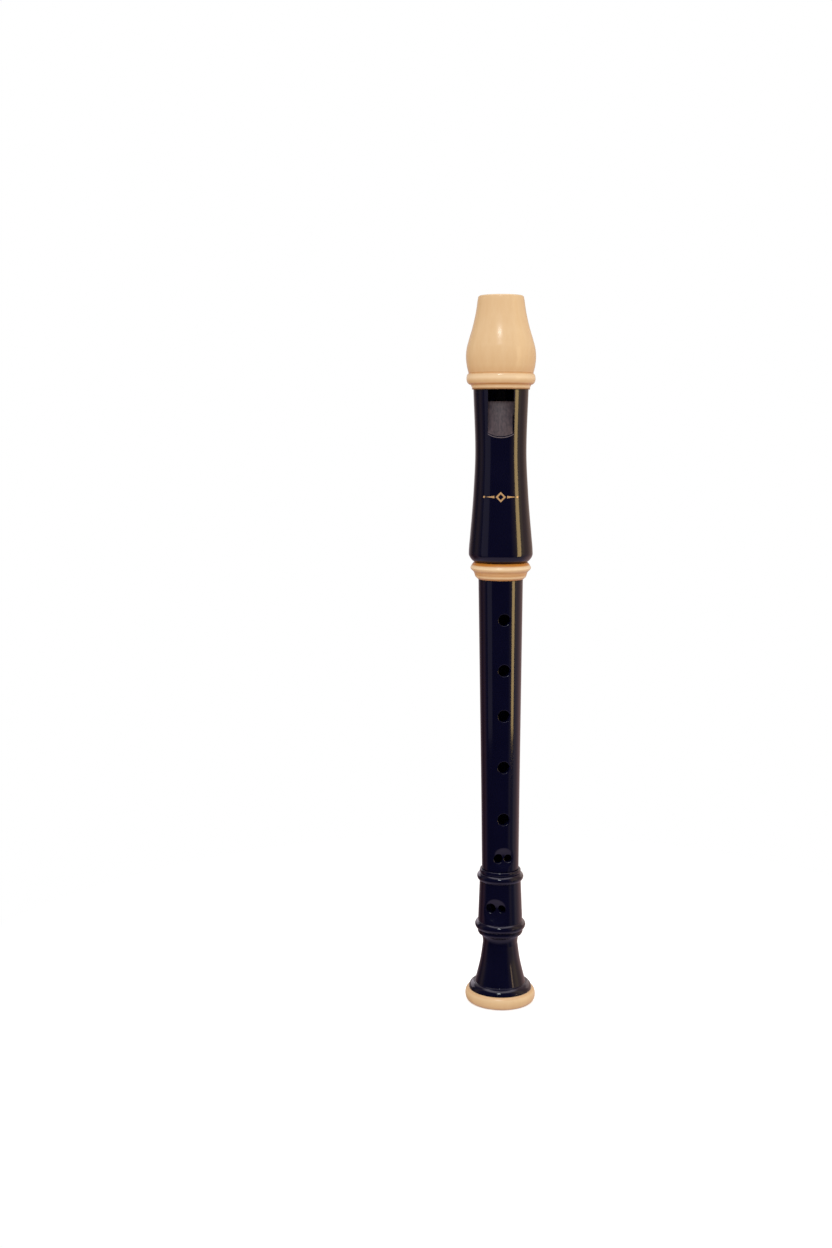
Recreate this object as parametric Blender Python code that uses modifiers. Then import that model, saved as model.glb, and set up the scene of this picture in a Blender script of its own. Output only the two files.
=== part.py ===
"""A soprano recorder in three joints, standing on the end of its foot.

Metres, +Z up. The origin is the middle of the foot's end face, and the window
of the head looks along -Y. The middle joint and the foot are turned a little,
as a player sets them, so that the finger holes don't line up with the window.
"""

from math import asin, cos, hypot, pi, radians, sin, sqrt

import bmesh
import bpy
from mathutils import Matrix, Vector

MM = 0.001
SEGMENTS = 32
BEAD_STEPS = 6
QUARTER_STEPS = 4
GAP = 0.3 * MM  # between two seated faces

# Foot joint, from the end face up
END_RING_HEIGHT = 5.5 * MM
END_RING_RADIUS = 16.1 * MM
END_RING_TOP_RADIUS = 14.4 * MM
END_RING_FACE_RADIUS = 14.6 * MM
END_SPIGOT_RADIUS = 9.2 * MM
END_SPIGOT_SHORTFALL = 0.8 * MM
FLANGE_HEIGHT = 2.8 * MM
BELL_LENGTH = 17.8 * MM
BELL_LOWER_RADIUS = 11.6 * MM
BELL_SHAPE = (0.55, 9.2 * MM)  # share up the bell, radius
WAIST_RADIUS = 8.0 * MM
COVE_HEIGHT = 3.8 * MM
COVE_TOP_RADIUS = 9.9 * MM
SMALL_BEAD_HEIGHT = 2.8 * MM
SMALL_BEAD_RADIUS = 10.75 * MM
LOWER_BEAD_HEIGHT = 3.8 * MM
LOWER_BEAD_RADIUS = 11.65 * MM
BARREL_LENGTH = 18.5 * MM
BARREL_LOWER_RADIUS = 10.25 * MM
BARREL_UPPER_RADIUS = 9.5 * MM
UPPER_BEAD_HEIGHT = 3.6 * MM
UPPER_BEAD_RADIUS = 10.7 * MM
LIP_HEIGHT = 1.8 * MM
LIP_RADIUS = 9.8 * MM
FOOT_BORE_TOP_RADIUS = 5.2 * MM
FOOT_BORE_END_RADIUS = 4.9 * MM
FOOT_BORE_FLARE = 0.8 * MM
FOOT_TURN = radians(-10)

# Middle joint
MIDDLE_LENGTH = 132.7 * MM
MIDDLE_TOP_RADIUS = 10.3 * MM
MIDDLE_BOTTOM_RADIUS = 8.48 * MM
MIDDLE_SHAPE = ((0.42, 0.46), (0.77, 0.824))  # share of the way down, share of the taper
MIDDLE_BORE_TOP_RADIUS = 6.6 * MM
MIDDLE_BORE_END_RADIUS = 5.4 * MM
MIDDLE_TURN = radians(9.5)

# Tenons, the sockets that take them, and the cork round each
UPPER_TENON_LENGTH = 26.0 * MM
UPPER_TENON_RADIUS = 9.3 * MM
LOWER_TENON_LENGTH = 11.2 * MM
LOWER_TENON_RADIUS = 7.55 * MM
TENON_CLEARANCE = 0.45 * MM
GROOVE_DEPTH = 0.8 * MM
CORK_PROUD = 0.15 * MM
UPPER_CORK_LENGTH = 12.0 * MM
UPPER_CORK_START = 9.0 * MM
LOWER_CORK_LENGTH = 6.5 * MM
LOWER_CORK_START = 2.2 * MM
EDGE = 0.4 * MM  # chamfer on a tenon's or a socket's edge

# Head joint
HEAD_LENGTH = 79.5 * MM
HEAD_TOP_RADIUS = 12.8 * MM
HEAD_WAIST_RADIUS = 11.87 * MM
HEAD_WAIST_DROP = 28.0 * MM
HEAD_FLARE = ((0.19, 14.18 * MM), (0.34, 13.56 * MM), (0.6, 12.66 * MM))  # share up to the waist
HEAD_BULGE_RADIUS = 14.82 * MM
HEAD_BULGE_HEIGHT = 4.2 * MM
HEAD_FOOT_SHAPE = ((0.34, 14.35 * MM), (0.77, 13.1 * MM), (1, 12.5 * MM))  # share down from the bulge
HEAD_BORE_RADIUS = 7.25 * MM
COLLAR_SPIGOT_RADIUS = 10.7 * MM
COLLAR_SPIGOT_LENGTH = 3.7 * MM

# Collar at the mouth of the head's socket
COLLAR_LENGTH = 7.7 * MM
COLLAR_RIM_RADIUS = 14.0 * MM
COLLAR_TOP_RADIUS = 12.6 * MM
COLLAR_STEP_RADIUS = 12.25 * MM
COLLAR_MOUTH_RADIUS = 10.6 * MM

# Window, labium and windway
WINDOW_WIDTH = 11.9 * MM
CUT_UP = 5.1 * MM  # from the end of the windway to the edge of the labium
LABIUM_DEPTH = 5.35 * MM  # of the labium's underside, from the axis
LABIUM_MARGIN = 0.2 * MM
RAMP_LENGTH = 17.1 * MM
RAMP_ARCH = 28.0 * MM  # radius of the arch across the ramp
WEB_LENGTH = 16.0 * MM
WINDWAY_WIDTH = 11.0 * MM
WINDWAY_FLOOR = 4.9 * MM
WINDWAY_HEIGHT = 1.15 * MM
BLOCK_SEAT_RADIUS = 7.3 * MM

# Beak cap
CAP_LENGTH = 44.0 * MM
CAP_TIP_RADIUS = 10.65 * MM
CAP_TIP_ROUND = 1.0 * MM
CAP_BULGE_RADIUS = 16.25 * MM
CAP_BULGE_HEIGHT = 15.8 * MM
CAP_SHAPE = ((0.19, 0.888), (0.5, 0.466), (0.75, 0.196))  # share up, share of the swell
CAP_GROOVE_RADIUS = 15.0 * MM
CAP_GROOVE_HEIGHT = 7.9 * MM
CAP_BEAD_RADIUS = 16.0 * MM
CAP_BEAD_HEIGHT = 5.4 * MM
CAP_STEP_RADIUS = 14.3 * MM
CAP_STEP_HEIGHT = 2.7 * MM
CAP_LIP_RADIUS = 13.55 * MM
CAP_LIP_HEIGHT = 1.4 * MM
CAP_WALL = 1.6 * MM
CAP_BORE_RADIUS = 9.5 * MM
BEAK_CUT_RADIUS = 45.0 * MM
BEAK_CUT_MISS = 0.3 * MM  # what the cut would leave before the recorder's axis, at its own height
BEAK_CUT_RISE = 3.7 * MM  # of the cut's axis, above the tip

# Holes
FINGER_HOLE_DIAMETER = 5.4 * MM
FINGER_HOLE_SHARES = (0.129, 0.304, 0.461, 0.639, 0.819)  # share of the way down the middle joint
THUMB_HOLE_DIAMETER = 5.0 * MM
THUMB_HOLE_SHARE = 0.067  # at the back
DOUBLE_HOLE_SHARE = 0.956
DOUBLE_LARGE_DIAMETER = 4.0 * MM
DOUBLE_SMALL_DIAMETER = 3.1 * MM
DOUBLE_SPACING = 4.5 * MM
SCOOP_ACROSS = 8.6 * MM
SCOOP_TALL = 9.6 * MM
SCOOP_DEPTH = 1.6 * MM
SCOOP_RISE = 0.9 * MM  # of the scoop's middle, above its holes
FOOT_HOLE_DROP = 5.1 * MM  # below the bottom of the foot's socket
FOOT_LARGE_DIAMETER = 4.1 * MM
FOOT_SMALL_DIAMETER = 3.2 * MM
FOOT_SPACING = 5.2 * MM
FOOT_SCOOP_ACROSS = 10.2 * MM
FOOT_SCOOP_TALL = 11.0 * MM
FOOT_SCOOP_DEPTH = 2.0 * MM
FOOT_SCOOP_DROP = 0.9 * MM  # of the scoop's middle, below its holes

# Heights along the recorder, worked out from the lengths
BELL_BOTTOM = END_RING_HEIGHT + FLANGE_HEIGHT
WAIST_HEIGHT = BELL_BOTTOM + BELL_LENGTH
SMALL_BEAD_BOTTOM = WAIST_HEIGHT + COVE_HEIGHT
LOWER_BEAD_BOTTOM = SMALL_BEAD_BOTTOM + SMALL_BEAD_HEIGHT
BARREL_BOTTOM = LOWER_BEAD_BOTTOM + LOWER_BEAD_HEIGHT
BARREL_TOP = BARREL_BOTTOM + BARREL_LENGTH
UPPER_BEAD_TOP = BARREL_TOP + UPPER_BEAD_HEIGHT
FOOT_TOP = UPPER_BEAD_TOP + LIP_HEIGHT
MIDDLE_BOTTOM = FOOT_TOP + GAP
MIDDLE_TOP = MIDDLE_BOTTOM + MIDDLE_LENGTH
COLLAR_BOTTOM = MIDDLE_TOP + GAP
COLLAR_TOP = COLLAR_BOTTOM + COLLAR_LENGTH
HEAD_BOTTOM = COLLAR_TOP + GAP
HEAD_TOP = HEAD_BOTTOM + HEAD_LENGTH
CAP_BOTTOM = HEAD_TOP + GAP
CAP_TOP = CAP_BOTTOM + CAP_LENGTH

LOWER_SOCKET_RADIUS = LOWER_TENON_RADIUS + TENON_CLEARANCE
LOWER_SOCKET_BOTTOM = MIDDLE_BOTTOM - LOWER_TENON_LENGTH - GAP
UPPER_SOCKET_RADIUS = UPPER_TENON_RADIUS + TENON_CLEARANCE
UPPER_SOCKET_TOP = MIDDLE_TOP + UPPER_TENON_LENGTH + GAP
CAP_CAVITY_TOP = CAP_TOP - CAP_WALL
SPIGOT_RADIUS = CAP_BORE_RADIUS - GAP
SPIGOT_TOP = CAP_CAVITY_TOP - GAP
LABIUM_HEIGHT = CAP_BOTTOM - CUT_UP
WEB_BOTTOM = LABIUM_HEIGHT - WEB_LENGTH
WINDWAY_ROOF = WINDWAY_FLOOR + WINDWAY_HEIGHT
BLOCK_RADIUS = BLOCK_SEAT_RADIUS - GAP
BEAK_CUT_OFFSET = BEAK_CUT_RADIUS + BEAK_CUT_MISS
BEAK_CUT_HEIGHT = CAP_TOP + BEAK_CUT_RISE
REACH = 1.25 * CAP_BULGE_RADIUS  # how far a cutter runs past what it cuts


def clear_scene():
    for old in list(bpy.data.objects):
        bpy.data.objects.remove(old)


def collection(name):
    made = bpy.data.collections.new(name)
    bpy.context.scene.collection.children.link(made)
    return made


def material(name, colour, roughness):
    made = bpy.data.materials.new(name)
    made.use_nodes = True
    shader = made.node_tree.nodes["Principled BSDF"]
    shader.inputs["Base Color"].default_value = (*colour, 1)
    shader.inputs["Roughness"].default_value = roughness
    shader.inputs["Metallic"].default_value = 0
    made.diffuse_color = (*colour, 1)
    return made


# Outlines are lists of (radius, height) that run down the outside of a turned piece


def bead(top, bottom, top_radius, bottom_radius, largest):
    """A half-round moulding: its two feet, and the largest radius between them."""
    outline = []
    for step in range(BEAD_STEPS + 1):
        turn = pi * step / BEAD_STEPS
        share = (1 - cos(turn)) / 2
        foot = top_radius + (bottom_radius - top_radius) * share
        outline.append((foot + (largest - foot) * sin(turn), top + (bottom - top) * share))
    return outline


def smooth(stations, points=3):
    """A smooth run through a few (radius, height) stations, upright where it swells or narrows most."""
    slopes = []
    for index, station in enumerate(stations):
        before = stations[max(index - 1, 0)]
        after = stations[min(index + 1, len(stations) - 1)]
        turns = (station[0] - before[0]) * (after[0] - station[0]) < 0
        slopes.append(0 if turns else (after[0] - before[0]) / (after[1] - before[1]))
    outline = [stations[0]]
    for index, (start, end) in enumerate(zip(stations, stations[1:])):
        span = end[1] - start[1]
        for step in range(1, points + 1):
            t = step / points
            radius = (
                start[0] * (2 * t**3 - 3 * t**2 + 1)
                + slopes[index] * span * (t**3 - 2 * t**2 + t)
                + end[0] * (3 * t**2 - 2 * t**3)
                + slopes[index + 1] * span * (t**3 - t**2)
            )
            outline.append((radius, start[1] + span * t))
    return outline


def quarter(start, end, swell_first):
    """A quarter of an ellipse between two points, leaving the first one along Z if swell_first."""
    outline = []
    for step in range(QUARTER_STEPS + 1):
        turn = pi / 2 * step / QUARTER_STEPS
        along, across = (1 - cos(turn), sin(turn)) if swell_first else (sin(turn), 1 - cos(turn))
        outline.append((start[0] + (end[0] - start[0]) * along, start[1] + (end[1] - start[1]) * across))
    return outline


def new_object(name, mesh, group):
    made = bpy.data.objects.new(name, mesh)
    group.objects.link(made)
    if group == cutters:
        made.hide_render = True
        made.display_type = "WIRE"
    return made


def turned(name, outline, group):
    """A closed outline turned round Z, or one that starts and ends on the axis."""
    points = [outline[0]]
    for point in outline[1:]:
        if hypot(point[0] - points[-1][0], point[1] - points[-1][1]) > 0.01 * MM:
            points.append(point)
    edges = [(index, index + 1) for index in range(len(points) - 1)]
    if points[0][0] > 0:
        edges.append((len(points) - 1, 0))
    mesh = bpy.data.meshes.new(name)
    mesh.from_pydata([(radius, 0, height) for radius, height in points], edges, [])
    made = new_object(name, mesh, group)
    screw = made.modifiers.new("Turn", "SCREW")
    screw.axis = "Z"
    screw.steps = SEGMENTS
    screw.render_steps = SEGMENTS
    screw.use_merge_vertices = True
    screw.merge_threshold = 0.01 * MM
    return made


def extruded(name, outline, half_length, along, group):
    """A flat outline pushed both ways along X or Z; the outline is in YZ or in XY."""
    shape = bmesh.new()
    if along == "X":
        rim = [shape.verts.new((-half_length, y, z)) for y, z in outline]
        step = Vector((2 * half_length, 0, 0))
    else:
        rim = [shape.verts.new((x, y, -half_length)) for x, y in outline]
        step = Vector((0, 0, 2 * half_length))
    face = shape.faces.new(rim)
    pushed = bmesh.ops.extrude_face_region(shape, geom=[face])
    moved = [part for part in pushed["geom"] if isinstance(part, bmesh.types.BMVert)]
    bmesh.ops.translate(shape, verts=moved, vec=step)
    bmesh.ops.recalc_face_normals(shape, faces=shape.faces)
    return from_shape(name, shape, group)


def box(name, low, high, group):
    shape = bmesh.new()
    bmesh.ops.create_cube(shape, size=1)
    size = Vector(high) - Vector(low)
    centre = (Vector(high) + Vector(low)) / 2
    bmesh.ops.transform(shape, matrix=Matrix.Diagonal((*size, 1)), verts=shape.verts)
    bmesh.ops.translate(shape, verts=shape.verts, vec=centre)
    return from_shape(name, shape, group)


def rod(name, diameter, length, group, segments=24):
    """A cylinder that runs from its object's origin along -Y."""
    shape = bmesh.new()
    bmesh.ops.create_cone(
        shape, cap_ends=True, segments=segments, radius1=diameter / 2, radius2=diameter / 2, depth=length
    )
    bmesh.ops.rotate(shape, verts=shape.verts, matrix=Matrix.Rotation(pi / 2, 3, "X"))
    bmesh.ops.translate(shape, verts=shape.verts, vec=(0, -length / 2, 0))
    return from_shape(name, shape, group)


def from_shape(name, shape, group):
    mesh = bpy.data.meshes.new(name)
    shape.to_mesh(mesh)
    shape.free()
    return new_object(name, mesh, group)


def cut(piece, cutter):
    boolean = piece.modifiers.new(cutter.name, "BOOLEAN")
    boolean.operation = "DIFFERENCE"
    boolean.object = cutter


def beak_cylinder(name, radius):
    """The big cylinder across the back of the beak that leaves it thin enough for the lips."""
    shape = bmesh.new()
    bmesh.ops.create_cone(
        shape, cap_ends=True, segments=180, radius1=radius, radius2=radius, depth=4 * REACH
    )
    bmesh.ops.rotate(shape, verts=shape.verts, matrix=Matrix.Rotation(pi / 2, 3, "Y"))
    made = from_shape(name, shape, cutters)
    made.location = (0, BEAK_CUT_OFFSET, BEAK_CUT_HEIGHT)
    return made


def tube_radius(share):
    """The middle joint's outer radius, for a share of the way down."""
    stations = ((0, 0), *MIDDLE_SHAPE, (1, 1))
    for (low, low_taper), (high, high_taper) in zip(stations, stations[1:]):
        if share <= high:
            taper = low_taper + (high_taper - low_taper) * (share - low) / (high - low)
            return MIDDLE_TOP_RADIUS + (MIDDLE_BOTTOM_RADIUS - MIDDLE_TOP_RADIUS) * taper
    return MIDDLE_BOTTOM_RADIUS


def grooved(bottom, top, start, length, radius):
    """The tenon's groove, as an outline down its outside, for a cork from start above bottom."""
    floor = radius - GROOVE_DEPTH
    upper = min(bottom + start + length, top - EDGE)
    return [(radius, upper), (floor, upper), (floor, bottom + start), (radius, bottom + start)]


def cork(name, bottom, length, tenon_radius):
    inner = tenon_radius - GROOVE_DEPTH + GAP
    outer = tenon_radius + CORK_PROUD
    low = bottom + GAP
    high = bottom + length - GAP
    made = turned(name, [(outer, high), (outer, low), (inner, low), (inner, high)], parts)
    made.data.materials.append(cork_material)
    return made


def scoop(name, across, tall, depth, radius, height, turn):
    """The dish round a pair of small holes, cut by an egg that lies across the tube."""
    deep = 2.5 * depth
    reach = (deep - depth) / deep
    half_tall = tall / 2 / sqrt(1 - reach**2)
    drop = radius - sqrt(radius**2 - across**2 / 4)
    side = (deep - depth + drop) / deep
    half_across = across / 2 / sqrt(1 - side**2)
    shape = bmesh.new()
    bmesh.ops.create_uvsphere(shape, u_segments=32, v_segments=20, radius=1)
    size = Matrix.Diagonal((half_across, deep, half_tall, 1))
    bmesh.ops.transform(shape, matrix=size, verts=shape.verts)
    bmesh.ops.translate(shape, verts=shape.verts, vec=(0, depth - radius - deep, 0))
    made = from_shape(name, shape, cutters)
    made.location = (0, 0, height)
    made.rotation_euler = (0, 0, turn)
    return made


def hole(name, piece, diameter, height, turn, offset=0.0):
    """A round hole through one wall, drilled along a line that may lie beside the axis."""
    drill = rod(name, diameter, REACH, cutters)
    drill.location = Matrix.Rotation(turn, 3, "Z") @ Vector((offset, 0, 0)) + Vector((0, 0, height))
    drill.rotation_euler = (0, 0, turn)
    cut(piece, drill)


def double_hole(name, piece, sizes, spacing, height, turn):
    for side, word, diameter in zip((-1, 1), ("large", "small"), sizes):
        hole(f"{name}_{word}", piece, diameter, height, turn, side * spacing / 2)


def make_end_ring():
    top = END_RING_HEIGHT - GAP
    middle = top * 0.52
    outline = quarter((END_RING_TOP_RADIUS, top), (END_RING_RADIUS, middle), False)
    outline += quarter((END_RING_RADIUS, middle), (END_RING_FACE_RADIUS, 0), True)[1:]
    inner = END_SPIGOT_RADIUS + GAP
    outline += [(inner, 0), (inner, top)]
    made = turned("foot_end_ring", outline, parts)
    made.data.materials.append(ivory)
    return made


def make_foot():
    outline = [(LOWER_SOCKET_RADIUS + EDGE, FOOT_TOP), (LIP_RADIUS - EDGE, FOOT_TOP)]
    outline += [(LIP_RADIUS, FOOT_TOP - EDGE), (LIP_RADIUS, UPPER_BEAD_TOP)]
    outline += bead(UPPER_BEAD_TOP, BARREL_TOP, LIP_RADIUS, BARREL_UPPER_RADIUS, UPPER_BEAD_RADIUS)
    outline += bead(
        BARREL_BOTTOM, LOWER_BEAD_BOTTOM, BARREL_LOWER_RADIUS, BARREL_LOWER_RADIUS, LOWER_BEAD_RADIUS
    )
    outline += bead(
        LOWER_BEAD_BOTTOM, SMALL_BEAD_BOTTOM, BARREL_LOWER_RADIUS, COVE_TOP_RADIUS, SMALL_BEAD_RADIUS
    )[1:]
    outline += quarter((COVE_TOP_RADIUS, SMALL_BEAD_BOTTOM), (WAIST_RADIUS, WAIST_HEIGHT), False)[1:]
    share, radius = BELL_SHAPE
    stations = [(WAIST_RADIUS, WAIST_HEIGHT), (radius, BELL_BOTTOM + share * BELL_LENGTH)]
    outline += smooth([*stations, (BELL_LOWER_RADIUS, BELL_BOTTOM)])[1:]
    rim = (END_RING_TOP_RADIUS, END_RING_HEIGHT)
    outline += quarter((BELL_LOWER_RADIUS, BELL_BOTTOM), rim, False)[1:]
    outline += [(END_SPIGOT_RADIUS, END_RING_HEIGHT), (END_SPIGOT_RADIUS, END_SPIGOT_SHORTFALL)]
    flare = FOOT_BORE_END_RADIUS + FOOT_BORE_FLARE
    outline += [(flare, END_SPIGOT_SHORTFALL), (FOOT_BORE_END_RADIUS, END_RING_HEIGHT)]
    outline += [(FOOT_BORE_TOP_RADIUS, LOWER_SOCKET_BOTTOM), (LOWER_SOCKET_RADIUS, LOWER_SOCKET_BOTTOM)]
    outline.append((LOWER_SOCKET_RADIUS, FOOT_TOP - EDGE))
    made = turned("foot_joint", outline, parts)
    made.data.materials.append(navy)

    height = LOWER_SOCKET_BOTTOM - FOOT_HOLE_DROP
    share = (height - BARREL_BOTTOM) / BARREL_LENGTH
    radius = BARREL_LOWER_RADIUS + (BARREL_UPPER_RADIUS - BARREL_LOWER_RADIUS) * share
    middle = height - FOOT_SCOOP_DROP
    dish = scoop(
        "foot_scoop", FOOT_SCOOP_ACROSS, FOOT_SCOOP_TALL, FOOT_SCOOP_DEPTH, radius, middle, FOOT_TURN
    )
    cut(made, dish)
    sizes = (FOOT_LARGE_DIAMETER, FOOT_SMALL_DIAMETER)
    double_hole("foot_hole", made, sizes, FOOT_SPACING, height, FOOT_TURN)
    return made


def make_middle():
    tenon_top = MIDDLE_TOP + UPPER_TENON_LENGTH
    tenon_end = MIDDLE_BOTTOM - LOWER_TENON_LENGTH
    outline = [(MIDDLE_BORE_TOP_RADIUS, tenon_top), (UPPER_TENON_RADIUS - EDGE, tenon_top)]
    outline.append((UPPER_TENON_RADIUS, tenon_top - EDGE))
    outline += grooved(MIDDLE_TOP, tenon_top, UPPER_CORK_START, UPPER_CORK_LENGTH, UPPER_TENON_RADIUS)
    outline += [(UPPER_TENON_RADIUS, MIDDLE_TOP), (MIDDLE_TOP_RADIUS - EDGE, MIDDLE_TOP)]
    stations = []
    for share, taper in ((0, 0), *MIDDLE_SHAPE, (1, 1)):
        radius = MIDDLE_TOP_RADIUS + (MIDDLE_BOTTOM_RADIUS - MIDDLE_TOP_RADIUS) * taper
        rounding = EDGE if share == 0 else 0
        stations.append((radius, MIDDLE_TOP - MIDDLE_LENGTH * share - rounding))
    outline += smooth(stations)
    outline += [(LOWER_TENON_RADIUS, MIDDLE_BOTTOM)]
    outline += grooved(
        tenon_end, MIDDLE_BOTTOM, LOWER_CORK_START, LOWER_CORK_LENGTH, LOWER_TENON_RADIUS
    )
    outline += [(LOWER_TENON_RADIUS, tenon_end + EDGE), (LOWER_TENON_RADIUS - EDGE, tenon_end)]
    outline.append((MIDDLE_BORE_END_RADIUS, tenon_end))
    made = turned("middle_joint", outline, parts)
    made.data.materials.append(navy)

    for number, share in enumerate(FINGER_HOLE_SHARES, 1):
        height = MIDDLE_TOP - MIDDLE_LENGTH * share
        hole(f"finger_hole_{number}", made, FINGER_HOLE_DIAMETER, height, MIDDLE_TURN)
    height = MIDDLE_TOP - MIDDLE_LENGTH * THUMB_HOLE_SHARE
    hole("thumb_hole", made, THUMB_HOLE_DIAMETER, height, MIDDLE_TURN + pi)
    height = MIDDLE_TOP - MIDDLE_LENGTH * DOUBLE_HOLE_SHARE
    radius = tube_radius(DOUBLE_HOLE_SHARE)
    middle = height + SCOOP_RISE
    dish = scoop("middle_scoop", SCOOP_ACROSS, SCOOP_TALL, SCOOP_DEPTH, radius, middle, MIDDLE_TURN)
    cut(made, dish)
    sizes = (DOUBLE_LARGE_DIAMETER, DOUBLE_SMALL_DIAMETER)
    double_hole("double_hole", made, sizes, DOUBLE_SPACING, height, MIDDLE_TURN)
    return made


def make_collar():
    rim_height = COLLAR_TOP - 0.25 * COLLAR_LENGTH
    step_height = COLLAR_BOTTOM + 0.5 * COLLAR_LENGTH
    inner_step = COLLAR_TOP + GAP - COLLAR_SPIGOT_LENGTH - GAP
    step = (COLLAR_STEP_RADIUS, step_height)
    outline = quarter((COLLAR_TOP_RADIUS, COLLAR_TOP), (COLLAR_RIM_RADIUS, rim_height), False)
    outline += quarter((COLLAR_RIM_RADIUS, rim_height), step, True)[1:]
    outline += quarter(step, (COLLAR_MOUTH_RADIUS, COLLAR_BOTTOM), True)[1:]
    outline += [(UPPER_SOCKET_RADIUS, COLLAR_BOTTOM), (UPPER_SOCKET_RADIUS, inner_step)]
    outline += [
        (COLLAR_SPIGOT_RADIUS + GAP, inner_step),
        (COLLAR_SPIGOT_RADIUS + GAP, COLLAR_TOP),
    ]
    made = turned("collar_ring", outline, parts)
    made.data.materials.append(ivory)
    return made


def block_seat(name, low, high):
    """The head's inside from the labium up: round behind, and flat under the windway."""
    half = WINDOW_WIDTH / 2 + LABIUM_MARGIN
    start = asin(half / BLOCK_SEAT_RADIUS)
    outline = [(-half, -LABIUM_DEPTH), (half, -LABIUM_DEPTH)]
    count = 30
    for step in range(count + 1):
        turn = start + (2 * pi - 2 * start) * step / count
        outline.append((BLOCK_SEAT_RADIUS * sin(turn), -BLOCK_SEAT_RADIUS * cos(turn)))
    made = extruded(name, outline, (high - low) / 2, "Z", cutters)
    made.location = (0, 0, (high + low) / 2)
    return made


def window_cutter():
    """The window above the labium, with the arched ramp that rises to it."""
    half = WINDOW_WIDTH / 2
    slope = (HEAD_WAIST_RADIUS - LABIUM_DEPTH) / RAMP_LENGTH
    low = LABIUM_HEIGHT - RAMP_LENGTH - REACH
    outside = LABIUM_DEPTH + (LABIUM_HEIGHT - low) * slope
    inside = LABIUM_DEPTH / 2
    count = 8
    shape = bmesh.new()
    sections = []
    for step in range(count + 1):
        across = -half + WINDOW_WIDTH * step / count
        arch = sqrt(RAMP_ARCH**2 - across**2) - sqrt(RAMP_ARCH**2 - half**2)
        outline = [
            (-outside - arch, low),
            (-LABIUM_DEPTH - arch, LABIUM_HEIGHT),
            (-inside, LABIUM_HEIGHT),
            (-inside, CAP_BOTTOM),
            (-outside - arch, CAP_BOTTOM),
        ]
        sections.append([shape.verts.new((across, y, z)) for y, z in outline])
    for before, after in zip(sections, sections[1:]):
        for index in range(len(before)):
            following = (index + 1) % len(before)
            shape.faces.new((before[index], before[following], after[following], after[index]))
    shape.faces.new(sections[0])
    shape.faces.new(sections[-1])
    bmesh.ops.recalc_face_normals(shape, faces=shape.faces)
    return from_shape("window_cutter", shape, cutters)


def make_head():
    waist = (HEAD_WAIST_RADIUS, HEAD_TOP - HEAD_WAIST_DROP)
    bulge = (HEAD_BULGE_RADIUS, HEAD_BOTTOM + HEAD_BULGE_HEIGHT)
    rise = waist[1] - bulge[1]
    stations = [(HEAD_TOP_RADIUS, HEAD_TOP), waist]
    stations += [(radius, bulge[1] + rise * share) for share, radius in reversed(HEAD_FLARE)]
    stations.append(bulge)
    stations += [(radius, bulge[1] - HEAD_BULGE_HEIGHT * share) for share, radius in HEAD_FOOT_SHAPE]
    outline = [(0, SPIGOT_TOP), (SPIGOT_RADIUS, SPIGOT_TOP), (SPIGOT_RADIUS, HEAD_TOP)]
    outline += smooth(stations)
    spigot_end = HEAD_BOTTOM - COLLAR_SPIGOT_LENGTH
    outline += [(COLLAR_SPIGOT_RADIUS, HEAD_BOTTOM), (COLLAR_SPIGOT_RADIUS, spigot_end)]
    outline += [(UPPER_SOCKET_RADIUS, spigot_end), (UPPER_SOCKET_RADIUS, UPPER_SOCKET_TOP)]
    bore_top = WEB_BOTTOM + LABIUM_MARGIN
    outline += [(HEAD_BORE_RADIUS, UPPER_SOCKET_TOP), (HEAD_BORE_RADIUS, bore_top), (0, bore_top)]
    made = turned("head_joint", outline, parts)
    made.data.materials.append(navy)

    cut(made, block_seat("block_seat", WEB_BOTTOM, SPIGOT_TOP + REACH))
    cut(made, window_cutter())
    windway = box(
        "windway_cutter",
        (-WINDWAY_WIDTH / 2, -WINDWAY_ROOF, CAP_BOTTOM - CUT_UP / 2),
        (WINDWAY_WIDTH / 2, -WINDWAY_FLOOR + WINDWAY_HEIGHT, CAP_TOP + REACH),
        cutters,
    )
    cut(made, windway)
    cut(made, beak_cylinder("spigot_trim", BEAK_CUT_RADIUS + CAP_WALL + GAP))
    return made


def make_block():
    outline = [(0, SPIGOT_TOP), (BLOCK_RADIUS, SPIGOT_TOP), (BLOCK_RADIUS, CAP_BOTTOM), (0, CAP_BOTTOM)]
    made = turned("block", outline, parts)
    made.data.materials.append(ivory)
    floor = box(
        "block_floor",
        (-REACH, -REACH, CAP_BOTTOM - REACH),
        (REACH, -WINDWAY_FLOOR, CAP_TOP + REACH),
        cutters,
    )
    cut(made, floor)
    cut(made, beak_cylinder("block_trim", BEAK_CUT_RADIUS + CAP_WALL + GAP))
    return made


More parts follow.
